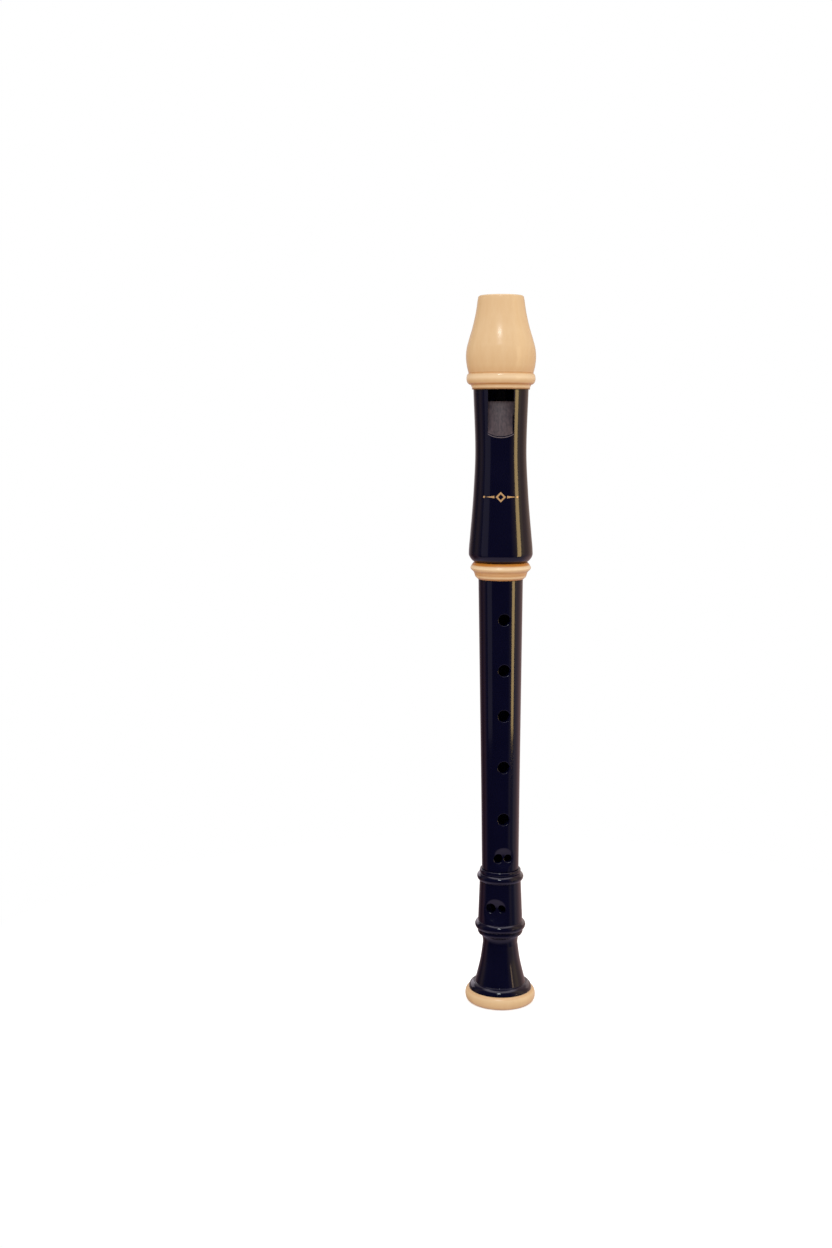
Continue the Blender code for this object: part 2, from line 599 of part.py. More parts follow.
def make_cap():
    bulge = (CAP_BULGE_RADIUS, CAP_BOTTOM + CAP_BULGE_HEIGHT)
    groove = (CAP_GROOVE_RADIUS, CAP_BOTTOM + CAP_GROOVE_HEIGHT)
    rim = (CAP_TIP_RADIUS, CAP_TOP - CAP_TIP_ROUND)
    stations = [rim]
    for share, swell in reversed(CAP_SHAPE):
        radius = rim[0] + (bulge[0] - rim[0]) * swell
        stations.append((radius, bulge[1] + (rim[1] - bulge[1]) * share))
    stations.append(bulge)
    stations.append(((bulge[0] * 2 + groove[0]) / 3, groove[1] + (bulge[1] - groove[1]) * 0.45))
    stations.append(groove)
    outline = [(0, CAP_TOP)]
    outline += quarter((rim[0] - CAP_TIP_ROUND, CAP_TOP), rim, False)
    outline += smooth(stations)[1:]
    bead_middle = (CAP_BEAD_RADIUS, CAP_BOTTOM + CAP_BEAD_HEIGHT)
    outline += quarter(groove, bead_middle, False)[1:]
    outline += quarter(bead_middle, (CAP_STEP_RADIUS, CAP_BOTTOM + CAP_STEP_HEIGHT), True)[1:]
    outline += [(CAP_LIP_RADIUS, CAP_BOTTOM + CAP_LIP_HEIGHT), (CAP_LIP_RADIUS, CAP_BOTTOM)]
    outline.append((0, CAP_BOTTOM))
    made = turned("beak_cap", outline, parts)
    made.data.materials.append(ivory)

    hollow = [(0, CAP_CAVITY_TOP), (CAP_BORE_RADIUS, CAP_CAVITY_TOP)]
    hollow += [(CAP_BORE_RADIUS, CAP_BOTTOM - REACH), (0, CAP_BOTTOM - REACH)]
    cavity = turned("cap_cavity", hollow, cutters)
    cut(cavity, beak_cylinder("cavity_trim", BEAK_CUT_RADIUS + CAP_WALL))
    cut(made, cavity)
    cut(made, beak_cylinder("beak_cut", BEAK_CUT_RADIUS))
    slot = box(
        "slot_cutter",
        (-WINDWAY_WIDTH / 2, -WINDWAY_ROOF, CAP_CAVITY_TOP - REACH),
        (WINDWAY_WIDTH / 2, -WINDWAY_FLOOR, CAP_TOP + REACH),
        cutters,
    )
    cut(made, slot)
    return made


def hang(empty_name, height, pieces):
    """Hangs pieces from an empty on the recorder's axis, where their joint turns and slides."""
    holder = bpy.data.objects.new(empty_name, None)
    parts.objects.link(holder)
    holder.location = (0, 0, height)
    for piece in pieces:
        piece.parent = holder
        piece.matrix_parent_inverse = Matrix.Translation((0, 0, -height))
    return holder


clear_scene()
parts = collection("recorder")
cutters = collection("recorder_cutters")
cutters.hide_render = True
navy = material("navy_plastic", (0.010, 0.011, 0.026), 0.22)
ivory = material("ivory_plastic", (0.78, 0.56, 0.33), 0.26)
cork_material = material("cork", (0.50, 0.32, 0.17), 0.8)

foot = make_foot()
end_ring = make_end_ring()
middle = make_middle()
lower_cork = cork(
    "lower_tenon_cork",
    MIDDLE_BOTTOM - LOWER_TENON_LENGTH + LOWER_CORK_START,
    LOWER_CORK_LENGTH,
    LOWER_TENON_RADIUS,
)
upper_cork = cork(
    "upper_tenon_cork", MIDDLE_TOP + UPPER_CORK_START, UPPER_CORK_LENGTH, UPPER_TENON_RADIUS
)
collar = make_collar()
head = make_head()
block = make_block()
cap = make_cap()

hang("lower_joint_axis", MIDDLE_BOTTOM, [middle, lower_cork])
hang("upper_joint_axis", MIDDLE_TOP, [upper_cork, collar, head, block, cap])
for piece in (foot, end_ring, middle, lower_cork, upper_cork, collar, head, block, cap):
    piece.data.shade_smooth()
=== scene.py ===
# Soprano recorder: fine surfaces, finishes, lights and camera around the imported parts.
# Lengths are in millimetres until a mesh is made. The bore runs up Z and the window looks along -Y.
from math import atan2, cos, degrees, hypot, pi, radians, sin, sqrt

import bpy
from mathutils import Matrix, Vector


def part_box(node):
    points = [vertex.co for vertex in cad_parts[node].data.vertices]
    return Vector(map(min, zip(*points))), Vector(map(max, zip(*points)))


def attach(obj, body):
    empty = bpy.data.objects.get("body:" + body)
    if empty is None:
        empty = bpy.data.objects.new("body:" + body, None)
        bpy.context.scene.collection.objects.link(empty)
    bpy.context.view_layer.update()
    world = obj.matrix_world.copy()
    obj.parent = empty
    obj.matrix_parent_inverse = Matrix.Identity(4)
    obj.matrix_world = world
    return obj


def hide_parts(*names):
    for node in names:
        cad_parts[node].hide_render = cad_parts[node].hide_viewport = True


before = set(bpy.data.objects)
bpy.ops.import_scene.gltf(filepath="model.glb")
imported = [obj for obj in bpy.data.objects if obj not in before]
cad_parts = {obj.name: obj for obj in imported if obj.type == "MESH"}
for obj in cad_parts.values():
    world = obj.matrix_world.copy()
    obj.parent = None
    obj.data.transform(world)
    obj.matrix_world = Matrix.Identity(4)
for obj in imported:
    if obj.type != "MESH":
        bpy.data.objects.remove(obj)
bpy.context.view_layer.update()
mm = 0.001
seam = 0.05  # what is left between two seated pieces
capWall = 1.6
# The cap and the collar end this much higher than their solids, and what they meet follows them
capRise, collarRise, headRise = 0.75, 0.75, 0.7


def heightsOf(node):
    low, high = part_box(node)
    return low[2] / mm, high[2] / mm


# Heights where the pieces meet, read from the frame
footTop = heightsOf("foot_joint")[1]
ringTop = heightsOf("foot_end_ring")[1]
collarBottom, collarTop = heightsOf("collar_ring")
capBottom, capTop = heightsOf("beak_cap")
middleEnd, middleTip = heightsOf("middle_joint")
spigotEnd, spigotTip = heightsOf("head_joint")
cadGap = capTop - spigotTip - capWall  # what the solids leave between seated pieces
middleTop = collarBottom - cadGap
headBottom = collarTop + cadGap
headTop = capBottom - cadGap
flangeBottom = ringTop + cadGap
capEnd = capBottom + capRise
shoulder = headTop + capRise
tubeTop = middleTop + collarRise
headEnd = headBottom + headRise
print("frame read, cap from", round(capBottom, 2), "to", round(capTop, 2))


# Outlines: lists of (radius, height) that run down the outside of a turned piece

def curveThrough(stations, points=10):
    # upright where it swells or narrows most
    slopes = []
    for index, station in enumerate(stations):
        before = stations[max(index - 1, 0)]
        after = stations[min(index + 1, len(stations) - 1)]
        turns = (station[0] - before[0]) * (after[0] - station[0]) < 0
        slopes.append(0 if turns else (after[0] - before[0]) / (after[1] - before[1]))
    outline = [stations[0]]
    for index, (start, end) in enumerate(zip(stations, stations[1:])):
        span = end[1] - start[1]
        for step in range(1, points + 1):
            t = step / points
            radius = (
                start[0] * (2 * t**3 - 3 * t**2 + 1)
                + slopes[index] * span * (t**3 - 2 * t**2 + t)
                + end[0] * (3 * t**2 - 2 * t**3)
                + slopes[index + 1] * span * (t**3 - t**2)
            )
            outline.append((radius, start[1] + span * t))
    return outline


def quarterRound(start, end, startsLevel, points=10):
    # startsLevel: the curve leaves its first point along the radius
    outline = []
    for step in range(points + 1):
        turn = pi / 2 * step / points
        out, down = (sin(turn), 1 - cos(turn)) if startsLevel else (1 - cos(turn), sin(turn))
        outline.append((start[0] + (end[0] - start[0]) * out, start[1] + (end[1] - start[1]) * down))
    return outline


def halfRound(top, bottom, topRadius, bottomRadius, largest, points=18, keen=1.0):
    # keen: over 1 makes the bead narrower at its crest
    outline = []
    for step in range(points + 1):
        turn = pi * step / points
        share = (1 - cos(turn)) / 2
        foot = topRadius + (bottomRadius - topRadius) * share
        outline.append((foot + (largest - foot) * sin(turn) ** keen, top + (bottom - top) * share))
    return outline


def softened(outline, size, closed=True, sharpest=28):
    # every corner sharper than that many degrees becomes a small round
    count = len(outline)
    made = []
    for index, point in enumerate(outline):
        if not closed and index in (0, count - 1):
            made.append(point)
            continue
        before = outline[index - 1]
        after = outline[(index + 1) % count]
        into = (point[0] - before[0], point[1] - before[1])
        away = (after[0] - point[0], after[1] - point[1])
        lengthIn, lengthOut = hypot(*into), hypot(*away)
        turn = atan2(into[0] * away[1] - into[1] * away[0], into[0] * away[0] + into[1] * away[1])
        if abs(degrees(turn)) < sharpest:
            made.append(point)
            continue
        reach = min(size, 0.45 * lengthIn, 0.45 * lengthOut)
        first = (point[0] - into[0] / lengthIn * reach, point[1] - into[1] / lengthIn * reach)
        last = (point[0] + away[0] / lengthOut * reach, point[1] + away[1] / lengthOut * reach)
        for step in range(5):
            t = step / 4
            made.append(tuple(
                first[axis] * (1 - t) ** 2 + 2 * point[axis] * t * (1 - t) + last[axis] * t**2
                for axis in (0, 1)
            ))
    return made


def spacedOut(outline, longest, closed=True):
    # drops points that coincide and splits long steps, so that the quads stay near square
    made = [outline[0]]
    following = outline[1:] + ([outline[0]] if closed else [])
    for point in following:
        start = made[-1]
        length = hypot(point[0] - start[0], point[1] - start[1])
        if length < 0.002:
            continue
        pieces = max(1, round(length / longest))
        for step in range(1, pieces + 1):
            t = step / pieces
            made.append((start[0] + (point[0] - start[0]) * t, start[1] + (point[1] - start[1]) * t))
    return made


# Modelling, all with Blender's own operators

def deselectAll():
    if bpy.context.object and bpy.context.object.mode != "OBJECT":
        bpy.ops.object.mode_set(mode="OBJECT")
    bpy.ops.object.select_all(action="DESELECT")


def pick(piece):
    deselectAll()
    piece.select_set(True)
    bpy.context.view_layer.objects.active = piece


def editAll():
    bpy.ops.object.mode_set(mode="EDIT")
    bpy.ops.mesh.select_all(action="SELECT")


def leaveEdit():
    bpy.ops.object.mode_set(mode="OBJECT")


def tidyMesh(piece):
    pick(piece)
    bpy.ops.object.transform_apply()
    editAll()
    bpy.ops.mesh.remove_doubles(threshold=0.0005 * mm)
    bpy.ops.mesh.normals_make_consistent()
    leaveEdit()


def settle(piece, angle=32):
    # puts the piece's place into its mesh and shades it
    pick(piece)
    bpy.ops.object.transform_apply()
    bpy.ops.object.shade_smooth_by_angle(angle=radians(angle))
    piece.select_set(False)
    return piece


def turned(name, outline, material, steps=128, longest=1.0):
    # a point is extruded along the outline and spun round Z
    deselectAll()
    points = spacedOut(outline, longest, outline[0][0] > 0)
    start = (points[0][0] * mm, 0, points[0][1] * mm)
    bpy.ops.mesh.primitive_plane_add(size=mm, location=start)
    piece = bpy.context.object
    piece.name = name
    editAll()
    bpy.ops.mesh.merge(type="CENTER")
    for before, after in zip(points, points[1:]):
        stepBy = ((after[0] - before[0]) * mm, 0, (after[1] - before[1]) * mm)
        bpy.ops.mesh.extrude_region_move(TRANSFORM_OT_translate={"value": stepBy})
    bpy.ops.mesh.select_all(action="SELECT")
    bpy.ops.mesh.spin(steps=steps, angle=2 * pi, center=(0, 0, 0), axis=(0, 0, 1))
    tidyMesh(piece)
    piece.data.materials.append(material)
    return piece


def carve(piece, cutter):
    # the new faces take the cutter's material if it has one
    pick(piece)
    boolean = piece.modifiers.new("Carve", "BOOLEAN")
    boolean.operation = "DIFFERENCE"
    boolean.solver = "EXACT"
    boolean.material_mode = "TRANSFER"
    boolean.object = cutter
    bpy.ops.object.modifier_apply(modifier=boolean.name)
    bpy.data.objects.remove(cutter)


def ringedCutter(rings, count=56):
    # a round cutter along -Y, made ring by ring: each ring is (radius, depth under the surface)
    deselectAll()
    radius, depth = rings[0]
    bpy.ops.mesh.primitive_circle_add(
        vertices=count, radius=radius * mm, fill_type="NGON", location=(0, depth * mm, 0),
        rotation=(pi / 2, 0, 0),
    )
    cutter = bpy.context.object
    bpy.ops.object.transform_apply()
    editAll()
    for (radiusBefore, depthBefore), (radiusAfter, depthAfter) in zip(rings, rings[1:]):
        bpy.ops.mesh.extrude_region_move(
            TRANSFORM_OT_translate={"value": (0, (depthAfter - depthBefore) * mm, 0)}
        )
        scale = radiusAfter / radiusBefore
        bpy.ops.transform.resize(value=(scale, 1, scale), center_override=(0, depthAfter * mm, 0))
    bpy.ops.mesh.select_all(action="SELECT")
    bpy.ops.mesh.normals_make_consistent()
    leaveEdit()
    return cutter


def radiusFrom(outline):
    # the outer radius of an outline at any height
    run = sorted(outline, key=lambda point: point[1])

    def radiusAt(height):
        for low, high in zip(run, run[1:]):
            if low[1] <= height <= high[1] and high[1] > low[1]:
                return low[0] + (high[0] - low[0]) * (height - low[1]) / (high[1] - low[1])
        return run[0][0] if height < run[0][1] else run[-1][0]

    return radiusAt


def smoothLeast(first, second, blend):
    # the smaller of two values, with a soft corner
    near = max(blend - abs(first - second), 0) / blend
    return min(first, second) - near * near * blend / 4


# A skin says how far out a joint's face lies, for a place across it and a height

def roundSkin(radiusAt):
    def skin(across, height):
        return sqrt(max(radiusAt(height) ** 2 - across**2, 0.01))

    return skin


eggDepth = 2.5  # half the egg's own depth, in depths of the dish


def dishedSkin(radiusAt, dish):
    # the tube, hollowed by an egg that lies across it
    deep = eggDepth * dish["depth"]
    radius = radiusAt(dish["height"])
    side = (deep - dish["depth"] + radius - sqrt(radius**2 - dish["across"] ** 2 / 4)) / deep
    halfAcross = dish["across"] / 2 / sqrt(1 - side**2)
    halfTall = dish["tall"] / 2 / sqrt(1 - (1 - dish["depth"] / deep) ** 2)
    plain = roundSkin(radiusAt)

    def skin(across, height):
        tube = plain(across, height)
        flat = 1 - (across / halfAcross) ** 2 - ((height - dish["height"]) / halfTall) ** 2
        if flat <= 0:
            return tube
        return smoothLeast(tube, radius - dish["depth"] + deep * (1 - sqrt(flat)), dish["soft"])

    return skin


def wrapOnSkin(cutter, skin, height, turn, offset=0.0):
    # bends a cutter's depths to follow the skin and swings it to its place
    for vertex in cutter.data.vertices:
        across = vertex.co.x / mm + offset
        up = height + vertex.co.z / mm
        vertex.co.y += -skin(across, up) * mm
        vertex.co.x = across * mm
        vertex.co.z = up * mm
    cutter.rotation_euler = (0, 0, turn)
    return settle(cutter)


def pushIn(piece, skin, radiusAt, turn, low, high):
    # moves the points of the outside to the dished skin
    for vertex in piece.data.vertices:
        x, y, z = (part / mm for part in vertex.co)
        out = x * sin(turn) - y * cos(turn)
        if low < z < high and out > 0 and hypot(x, y) > radiusAt(z) - 0.01:
            shift = skin(x * cos(turn) + y * sin(turn), z) - out
            vertex.co.x += shift * sin(turn) * mm
            vertex.co.y -= shift * cos(turn) * mm


# Finishes

class Wire:
    # one socket of a node, which can be worked on like a number
    def __init__(self, graph, socket):
        self.graph = graph
        self.socket = socket

    def math(self, operation, *values, clamp=False):
        return self.graph.add("Math", {"operation": operation, "use_clamp": clamp}, *values)

    def __add__(self, other):
        return self.math("ADD", self, other)

    def __radd__(self, other):
        return self.math("ADD", other, self)

    def __sub__(self, other):
        return self.math("SUBTRACT", self, other)

    def __rsub__(self, other):
        return self.math("SUBTRACT", other, self)

    def __mul__(self, other):
        return self.math("MULTIPLY", self, other)

    def __truediv__(self, other):
        return self.math("DIVIDE", self, other)

    def __abs__(self):
        return self.math("ABSOLUTE", self)

    def below(self, limit):
        return self.math("LESS_THAN", self, limit)

    def above(self, limit):
        return self.math("GREATER_THAN", self, limit)

    def held(self):
        return self.math("ADD", self, 0.0, clamp=True)

    def root(self):
        return self.math("SQRT", self)

    def between(self, start, end):
        # 0 up to the start and 1 from the end on
        return ((self - start) / (end - start)).held()

    def peak(self, middle, half):
        # 1 at the middle and 0 beyond half the width
        return (1.0 - abs(self - middle) / half).held()

    def stretched(self, contrast):
        return ((self - 0.5) * contrast + 0.5).held()


class Graph:
    # a node tree, whose nodes are all added by one method
    def __init__(self, tree):
        self.tree = tree

    def add(self, kind, settings, *values, output=0, **named):
        node = self.tree.nodes.new("ShaderNode" + kind)
        for key, value in settings.items():
            if key == "stops":
                self.setStops(node.color_ramp, value)
            else:
                setattr(node, key, value)
        for index, value in enumerate(values):
            self.feed(node.inputs[index], value)
        for label, value in named.items():
            self.feed(node.inputs[label.replace("_", " ")], value)
        return Wire(self, node.outputs[output])

    def setStops(self, ramp, stops):
        while len(ramp.elements) < len(stops):
            ramp.elements.new(0.5)
        for element, (place, colour) in zip(ramp.elements, stops):
            element.position = place
            element.color = (*colour, 1)

    def feed(self, socket, value):
        if isinstance(value, Wire):
            self.tree.links.new(value.socket, socket)
        elif isinstance(value, (tuple, list)) and len(value) == 3 and socket.type == "RGBA":
            socket.default_value = (*value, 1)
        else:
            socket.default_value = value

    def place(self):
        return self.add("TexCoord", {}, output="Object")

    def ray(self, kind):
        return self.add("LightPath", {}, output=kind)

    def parts(self, vector):
        split = self.tree.nodes.new("ShaderNodeSeparateXYZ")
        self.feed(split.inputs[0], vector)
        return [Wire(self, split.outputs[axis]) for axis in range(3)]

    def noise(self, vector, size, detail=3.0, roughness=0.5):
        # size is that of its spots, in millimetres
        return self.add(
            "TexNoise", {}, Vector=vector, Scale=1 / (size * mm), Detail=detail,
            Roughness=roughness,
        )

    def blend(self, share, first, second):
        node = self.tree.nodes.new("ShaderNodeMix")
        node.data_type = "RGBA"
        self.feed(node.inputs["Factor"], share)
        self.feed(node.inputs[6], first)
        self.feed(node.inputs[7], second)
        return Wire(self, node.outputs[2])


class Finish(Graph):
    # the finish of a piece: a material with its own values, and what changes over the surface
    def __init__(self, name, **fixed):
        self.material = bpy.data.materials.new(name)
        self.material.use_nodes = True
        super().__init__(self.material.node_tree)
        self.shader = self.tree.nodes["Principled BSDF"]
        for label, value in fixed.items():
            self.shader.inputs[label.replace("_", " ")].default_value = value

    def wire(self, label, value):
        self.feed(self.shader.inputs[label], value)

    def bump(self, height, depth, strength=1.0):
        # depth in millimetres is what a height of 1 stands for
        self.wire("Normal", self.add("Bump", {}, Strength=strength, Distance=depth * mm, Height=height))


navyLook = {
    "deep": (0.0018, 0.0021, 0.0140),
    "light": (0.0032, 0.0034, 0.0200),
    "roughness": 0.08,
    "smudge": 0.05,
    "cloud": 9.0,
    "handled": 14.0,
    "skin": 3.0,
    "skinDepth": 0.004,
}

# The gilt ornament on the head's front: a lozenge between two tapering rules that end in dots
giltLook = {
    "height": headTop - 48.5, "lozengeWide": 2.4, "lozengeTall": 2.5, "eye": 0.50,
    "ruleStart": 2.9, "ruleEnd": 7.1, "ruleHalf": 0.60, "dot": 7.6, "dotRadius": 0.52,
    "colour": (0.60, 0.40, 0.20), "roughness": 0.42, "metallic": 0.2, "sharpness": 12.0,
}


def giltMask(finish, place, look):
    x, y, z = finish.parts(place)
    across = abs(x / mm)
    up = abs(z / mm - look["height"])
    edge = look["sharpness"]
    size = across / look["lozengeWide"] + up / look["lozengeTall"]
    lozenge = ((1.0 - size) * edge).held()
    eye = ((size - look["eye"]) * edge).held()
    taper = (across - look["ruleStart"]) / (look["ruleEnd"] - look["ruleStart"])
    rule = (((1.0 - taper) * look["ruleHalf"] - up) * edge * 1.5).held()
    started = across.above(look["ruleStart"])
    offset = across - look["dot"]
    dot = ((look["dotRadius"] - (offset * offset + up * up).root()) * edge).held()
    return (lozenge * eye + rule * started + dot).held() * y.below(0.0)


# The head joint's values come before its piece, because the painted edge highlight follows the ramp
headValues = {
    "topRadius": 12.8, "waistRadius": 11.87, "waistDrop": 28.0,
    "flare": ((0.6, 12.66), (0.34, 13.56), (0.19, 14.18)), "bulgeRadius": 14.82, "bulgeHeight": 4.2,
    "footShape": ((0.34, 14.35), (0.62, 13.55), (0.83, 12.6)),
    "seatRadius": 10.7, "socketRadius": 9.75, "socketTop": 26.3,
    "boreRadius": 7.25, "spigotRadius": 9.2, "blockSeat": 7.3,
    "windowWidth": 11.9, "cutUp": 5.1, "labium": 5.35, "margin": 0.2,
    "ramp": 18.4, "arch": 19.0, "web": 16.0,
    "windway": 11.0, "floor": 4.9, "slot": 1.15,
    "inner": 3.0, "outer": 20.0, "past": 9.0,
    "edge": 0.25,
}
labiumHeight = capBottom - headValues["cutUp"]
rampSlope = (headValues["waistRadius"] - headValues["labium"]) / headValues["ramp"]

# the colour, place and share of the painted highlight under the ramp's edge
edgeHighlightLook = {"colour": (0.50, 0.46, 0.54), "middle": 0.24, "half": 0.10, "share": 0.4}


def paintedEdgeHighlight(finish, place, look, shape):
    # painted highlight: a thin pale line on the outside a little under the ramp's end, where its edge would
    # catch the light
    x, y, z = finish.parts(place)
    across = abs(x / mm)
    half = shape["windowWidth"] / 2
    arch = (shape["arch"] ** 2 - across * across).root() - sqrt(shape["arch"] ** 2 - half**2)
    face = (labiumHeight - z / mm) * rampSlope + shape["labium"] + arch
    line = (face + y / mm).peak(look["middle"], look["half"])
    return line * across.below(half) * z.above((labiumHeight - shape["ramp"] - 3) * mm) * y.below(0.0)


def navyFinish(name, ornament=None):
    finish = Finish(name, IOR=1.5)
    place = finish.place()
    cloudy = finish.noise(place, navyLook["cloud"])
    colour = finish.blend(cloudy, navyLook["deep"], navyLook["light"])
    handled = finish.noise(place, navyLook["handled"], 5.0, 0.6)
    roughness = navyLook["roughness"] + handled * navyLook["smudge"]
    # the head's navy also gets the gilt ornament and the painted edge highlight
    if ornament:
        gilt = giltMask(finish, place, ornament)
        colour = finish.blend(gilt, colour, ornament["colour"])
        roughness = roughness + gilt * (ornament["roughness"] - navyLook["roughness"])
        finish.wire("Metallic", gilt * ornament["metallic"])
        # painted highlight: a pale line under the ramp's lower edge
        edgeHighlightShare = paintedEdgeHighlight(finish, place, edgeHighlightLook, headValues) * edgeHighlightLook["share"]
        colour = finish.blend(edgeHighlightShare, colour, edgeHighlightLook["colour"])
    finish.wire("Base Color", colour)
    finish.wire("Roughness", roughness)
    finish.bump(finish.noise(place, navyLook["skin"], 2.0), navyLook["skinDepth"], 0.5)
    return finish.material


honedLook = {
    "pale": (0.098, 0.075, 0.098), "dark": (0.050, 0.040, 0.060), "roughness": 0.5,
    "grain": 0.35, "mottle": 0.9, "contrast": 3.0, "depth": 0.02,
    # where the painted wall shade on the ramp starts, and how sharply it fades
    "wallShadeAndGloss": 5.15, "sideSharpness": 3.0, "wallShadeDrop": 10.5, "dropSharpness": 0.8,
}


def honedFinish():
    # the labium's ramp is left matt by its mould
    finish = Finish("honedNavy", IOR=1.5)
    place = finish.place()
    grain = finish.noise(place, honedLook["grain"])
    brushed = finish.add("Mapping", {}, Vector=place, Scale=(1, 1, 0.3))
    spread = finish.noise(brushed, honedLook["mottle"], 3.0, 0.6).stretched(honedLook["contrast"])
    colour = finish.blend(spread, honedLook["dark"], honedLook["pale"])
    # painted shade: beside the window's right wall, low down, the ramp is painted dark navy where the wall
    # shades it, and is also made smoother
    x, y, z = finish.parts(place)
    side = ((x / mm - honedLook["wallShadeAndGloss"]) * honedLook["sideSharpness"]).held()
    lowDown = ((capBottom - honedLook["wallShadeDrop"] - z / mm) * honedLook["dropSharpness"]).held()
    wallShadeAndGloss = side * lowDown
    finish.wire("Base Color", finish.blend(wallShadeAndGloss, colour, navyLook["deep"]))
    finish.wire("Roughness", honedLook["roughness"] + (grain - 0.5) * 0.2 - wallShadeAndGloss * 0.3)
    finish.bump(grain, honedLook["depth"], 0.6)
    return finish.material


ivoryLook = {
    "pale": (0.800, 0.622, 0.400),
    "warm": (0.735, 0.532, 0.312),
    # the colours of the painted highlights, the painted shade and the painted shadow
    "highlightMilky": (0.900, 0.740, 0.530),
    "shadeAmber": (0.560, 0.220, 0.035),
    "shadowBrown": (0.300, 0.140, 0.060),
    "roughness": 0.20,
    "blockRoughness": 0.34,
    "uneven": 0.06,
    "streak": 2.6,
    "handled": 11.0,
    "skin": 4.0,
    "skinDepth": 0.002,
}

# Painted shade in grooves, gaps and under edges, as amber bands: height, half its width, share
paintedShadeLines = (
    (capBottom + 9.2, 2.5, 0.10), (capBottom + 7.9, 0.6, 0.55), (capBottom + 2.9, 0.6, 0.8),
    (collarTop + 0.4, 1.2, 2.4), (collarBottom + 4.0, 0.9, 0.5), (collarBottom + 2.9, 0.8, 0.5),
    (collarBottom + 0.8, 0.55, 0.8), (ringTop, 0.8, 0.4),
)
# a painted shadow line at the cap's lower edge, as a brown band
paintedShadowLines = ((capEnd, 0.5, 1.1),)
# painted highlights on the lip, the bead top and the collar's parts that face the light, as milky bands
paintedHighlightLines = (
    (capBottom + 1.7, 0.6, 1.2), (capBottom + 5.9, 1.6, 0.9), (collarBottom + 5.9, 1.2, 1.0),
    (collarBottom + 1.8, 0.5, 0.9),
)


def alongEdges(height, lines):
    shares = 0.0
    for middle, half, share in lines:
        shares = shares + height.peak(middle, half) * share
    return shares.held()


def ivoryFinish(name, roughness):
    finish = Finish(name, IOR=1.5)
    place = finish.place()
    stretched = finish.add("Mapping", {}, Vector=place, Scale=(1, 1, 0.22))
    streaks = finish.noise(stretched, ivoryLook["streak"], 4.0, 0.55)
    height = finish.parts(place)[2] / mm
    colour = finish.blend(streaks, ivoryLook["pale"], ivoryLook["warm"])
    # painted highlights, painted shade and a painted shadow, as bands by height
    colour = finish.blend(alongEdges(height, paintedHighlightLines), colour, ivoryLook["highlightMilky"])
    colour = finish.blend(alongEdges(height, paintedShadeLines), colour, ivoryLook["shadeAmber"])
    finish.wire("Base Color", finish.blend(alongEdges(height, paintedShadowLines), colour, ivoryLook["shadowBrown"]))
    handled = finish.noise(place, ivoryLook["handled"], 4.0)
    finish.wire("Roughness", roughness + (handled - 0.5) * ivoryLook["uneven"])
    finish.bump(finish.noise(place, ivoryLook["skin"], 2.0), ivoryLook["skinDepth"], 0.4)
    return finish.material


corkLook = {
    "light": (0.52, 0.34, 0.19), "dark": (0.20, 0.105, 0.05), "shade": 0.75, "roughness": 0.75,
    "cell": 0.9, "pit": 0.8, "pitLevel": 0.62, "tone": 2.2, "depth": 0.12,
}


def corkFinish():
    finish = Finish("waxedCork", Roughness=corkLook["roughness"])
    place = finish.place()
    cells = finish.add("TexVoronoi", {}, Vector=place, Scale=1 / (corkLook["cell"] * mm))
    pits = finish.noise(place, corkLook["pit"], 4.0, 0.6).above(corkLook["pitLevel"])
    tone = finish.noise(place, corkLook["tone"], 4.0)
    shaded = tuple(part * corkLook["shade"] for part in corkLook["light"])
    base = finish.blend(tone, corkLook["light"], shaded)
    finish.wire("Base Color", finish.blend(pits * 0.8, base, corkLook["dark"]))
    finish.bump(cells - pits * 0.6, corkLook["depth"], 0.6)
    return finish.material


navyPlastic = navyFinish("navyPlastic")
# the head's navy, with the gilt ornament and a painted highlight under the ramp's edge
giltNavyEdgeHighlight = navyFinish("giltNavyEdgeHighlight", giltLook)
honedNavy = honedFinish()
ivoryPlastic = ivoryFinish("ivoryPlastic", ivoryLook["roughness"])
blockPlastic = ivoryFinish("blockPlastic", ivoryLook["blockRoughness"])
waxedCork = corkFinish()
print("finishes made")


def finished(piece, nodes, body):
    settle(piece)
    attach(piece, body)
    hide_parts(nodes)
    print(piece.name, "has", len(piece.data.polygons), "faces")
    return piece


# Foot joint
footValues = {
    "lipTop": 8.95, "lipRadius": 9.5, "lipFoot": 9.2, "lip": 1.8,
    "upperBeadRadius": 10.7, "upperBead": 3.6,
    "barrelTopRadius": 9.5, "barrel": 18.5, "barrelEndRadius": 10.25,
    "lowerBeadRadius": 11.65, "lowerBead": 3.8,
    "smallBeadRadius": 10.45, "smallBead": 2.4,
    "coveRadius": 9.3, "cove": 4.2, "waistRadius": 8.0,
    "bell": 17.8, "bellRadius": 11.6, "bellMiddle": (0.55, 9.2),
    "flangeRadius": 14.4,
    "socketRadius": 8.0, "socketDepth": 11.2,
    "boreTop": 5.2, "boreEnd": 4.9, "mouth": 5.7,
    "spigotRadius": 9.2, "spigotEnd": 0.8,
    "turn": radians(-12.5),
    "holeDrop": 5.4, "largeHole": 4.4, "smallHole": 3.6, "spacing": 5.2,
    "scoopAcross": 10.2, "scoopTall": 11.0, "scoopDepth": 2.0, "scoopRise": -0.9, "pairWall": 2.5,
    "keen": 1.4, "edge": 0.3,
}

# Holes have rounded rims. Their cutters flare beyond the rim and go on past the wall.
drillLook = {
    "rim": 0.35, "pairRim": 0.25, "rimTurn": 72, "rimSteps": 5, "flare": 0.75, "flareRise": 0.25,
    "above": 3.0, "past": 2.0, "scoopSoft": 0.6,
}


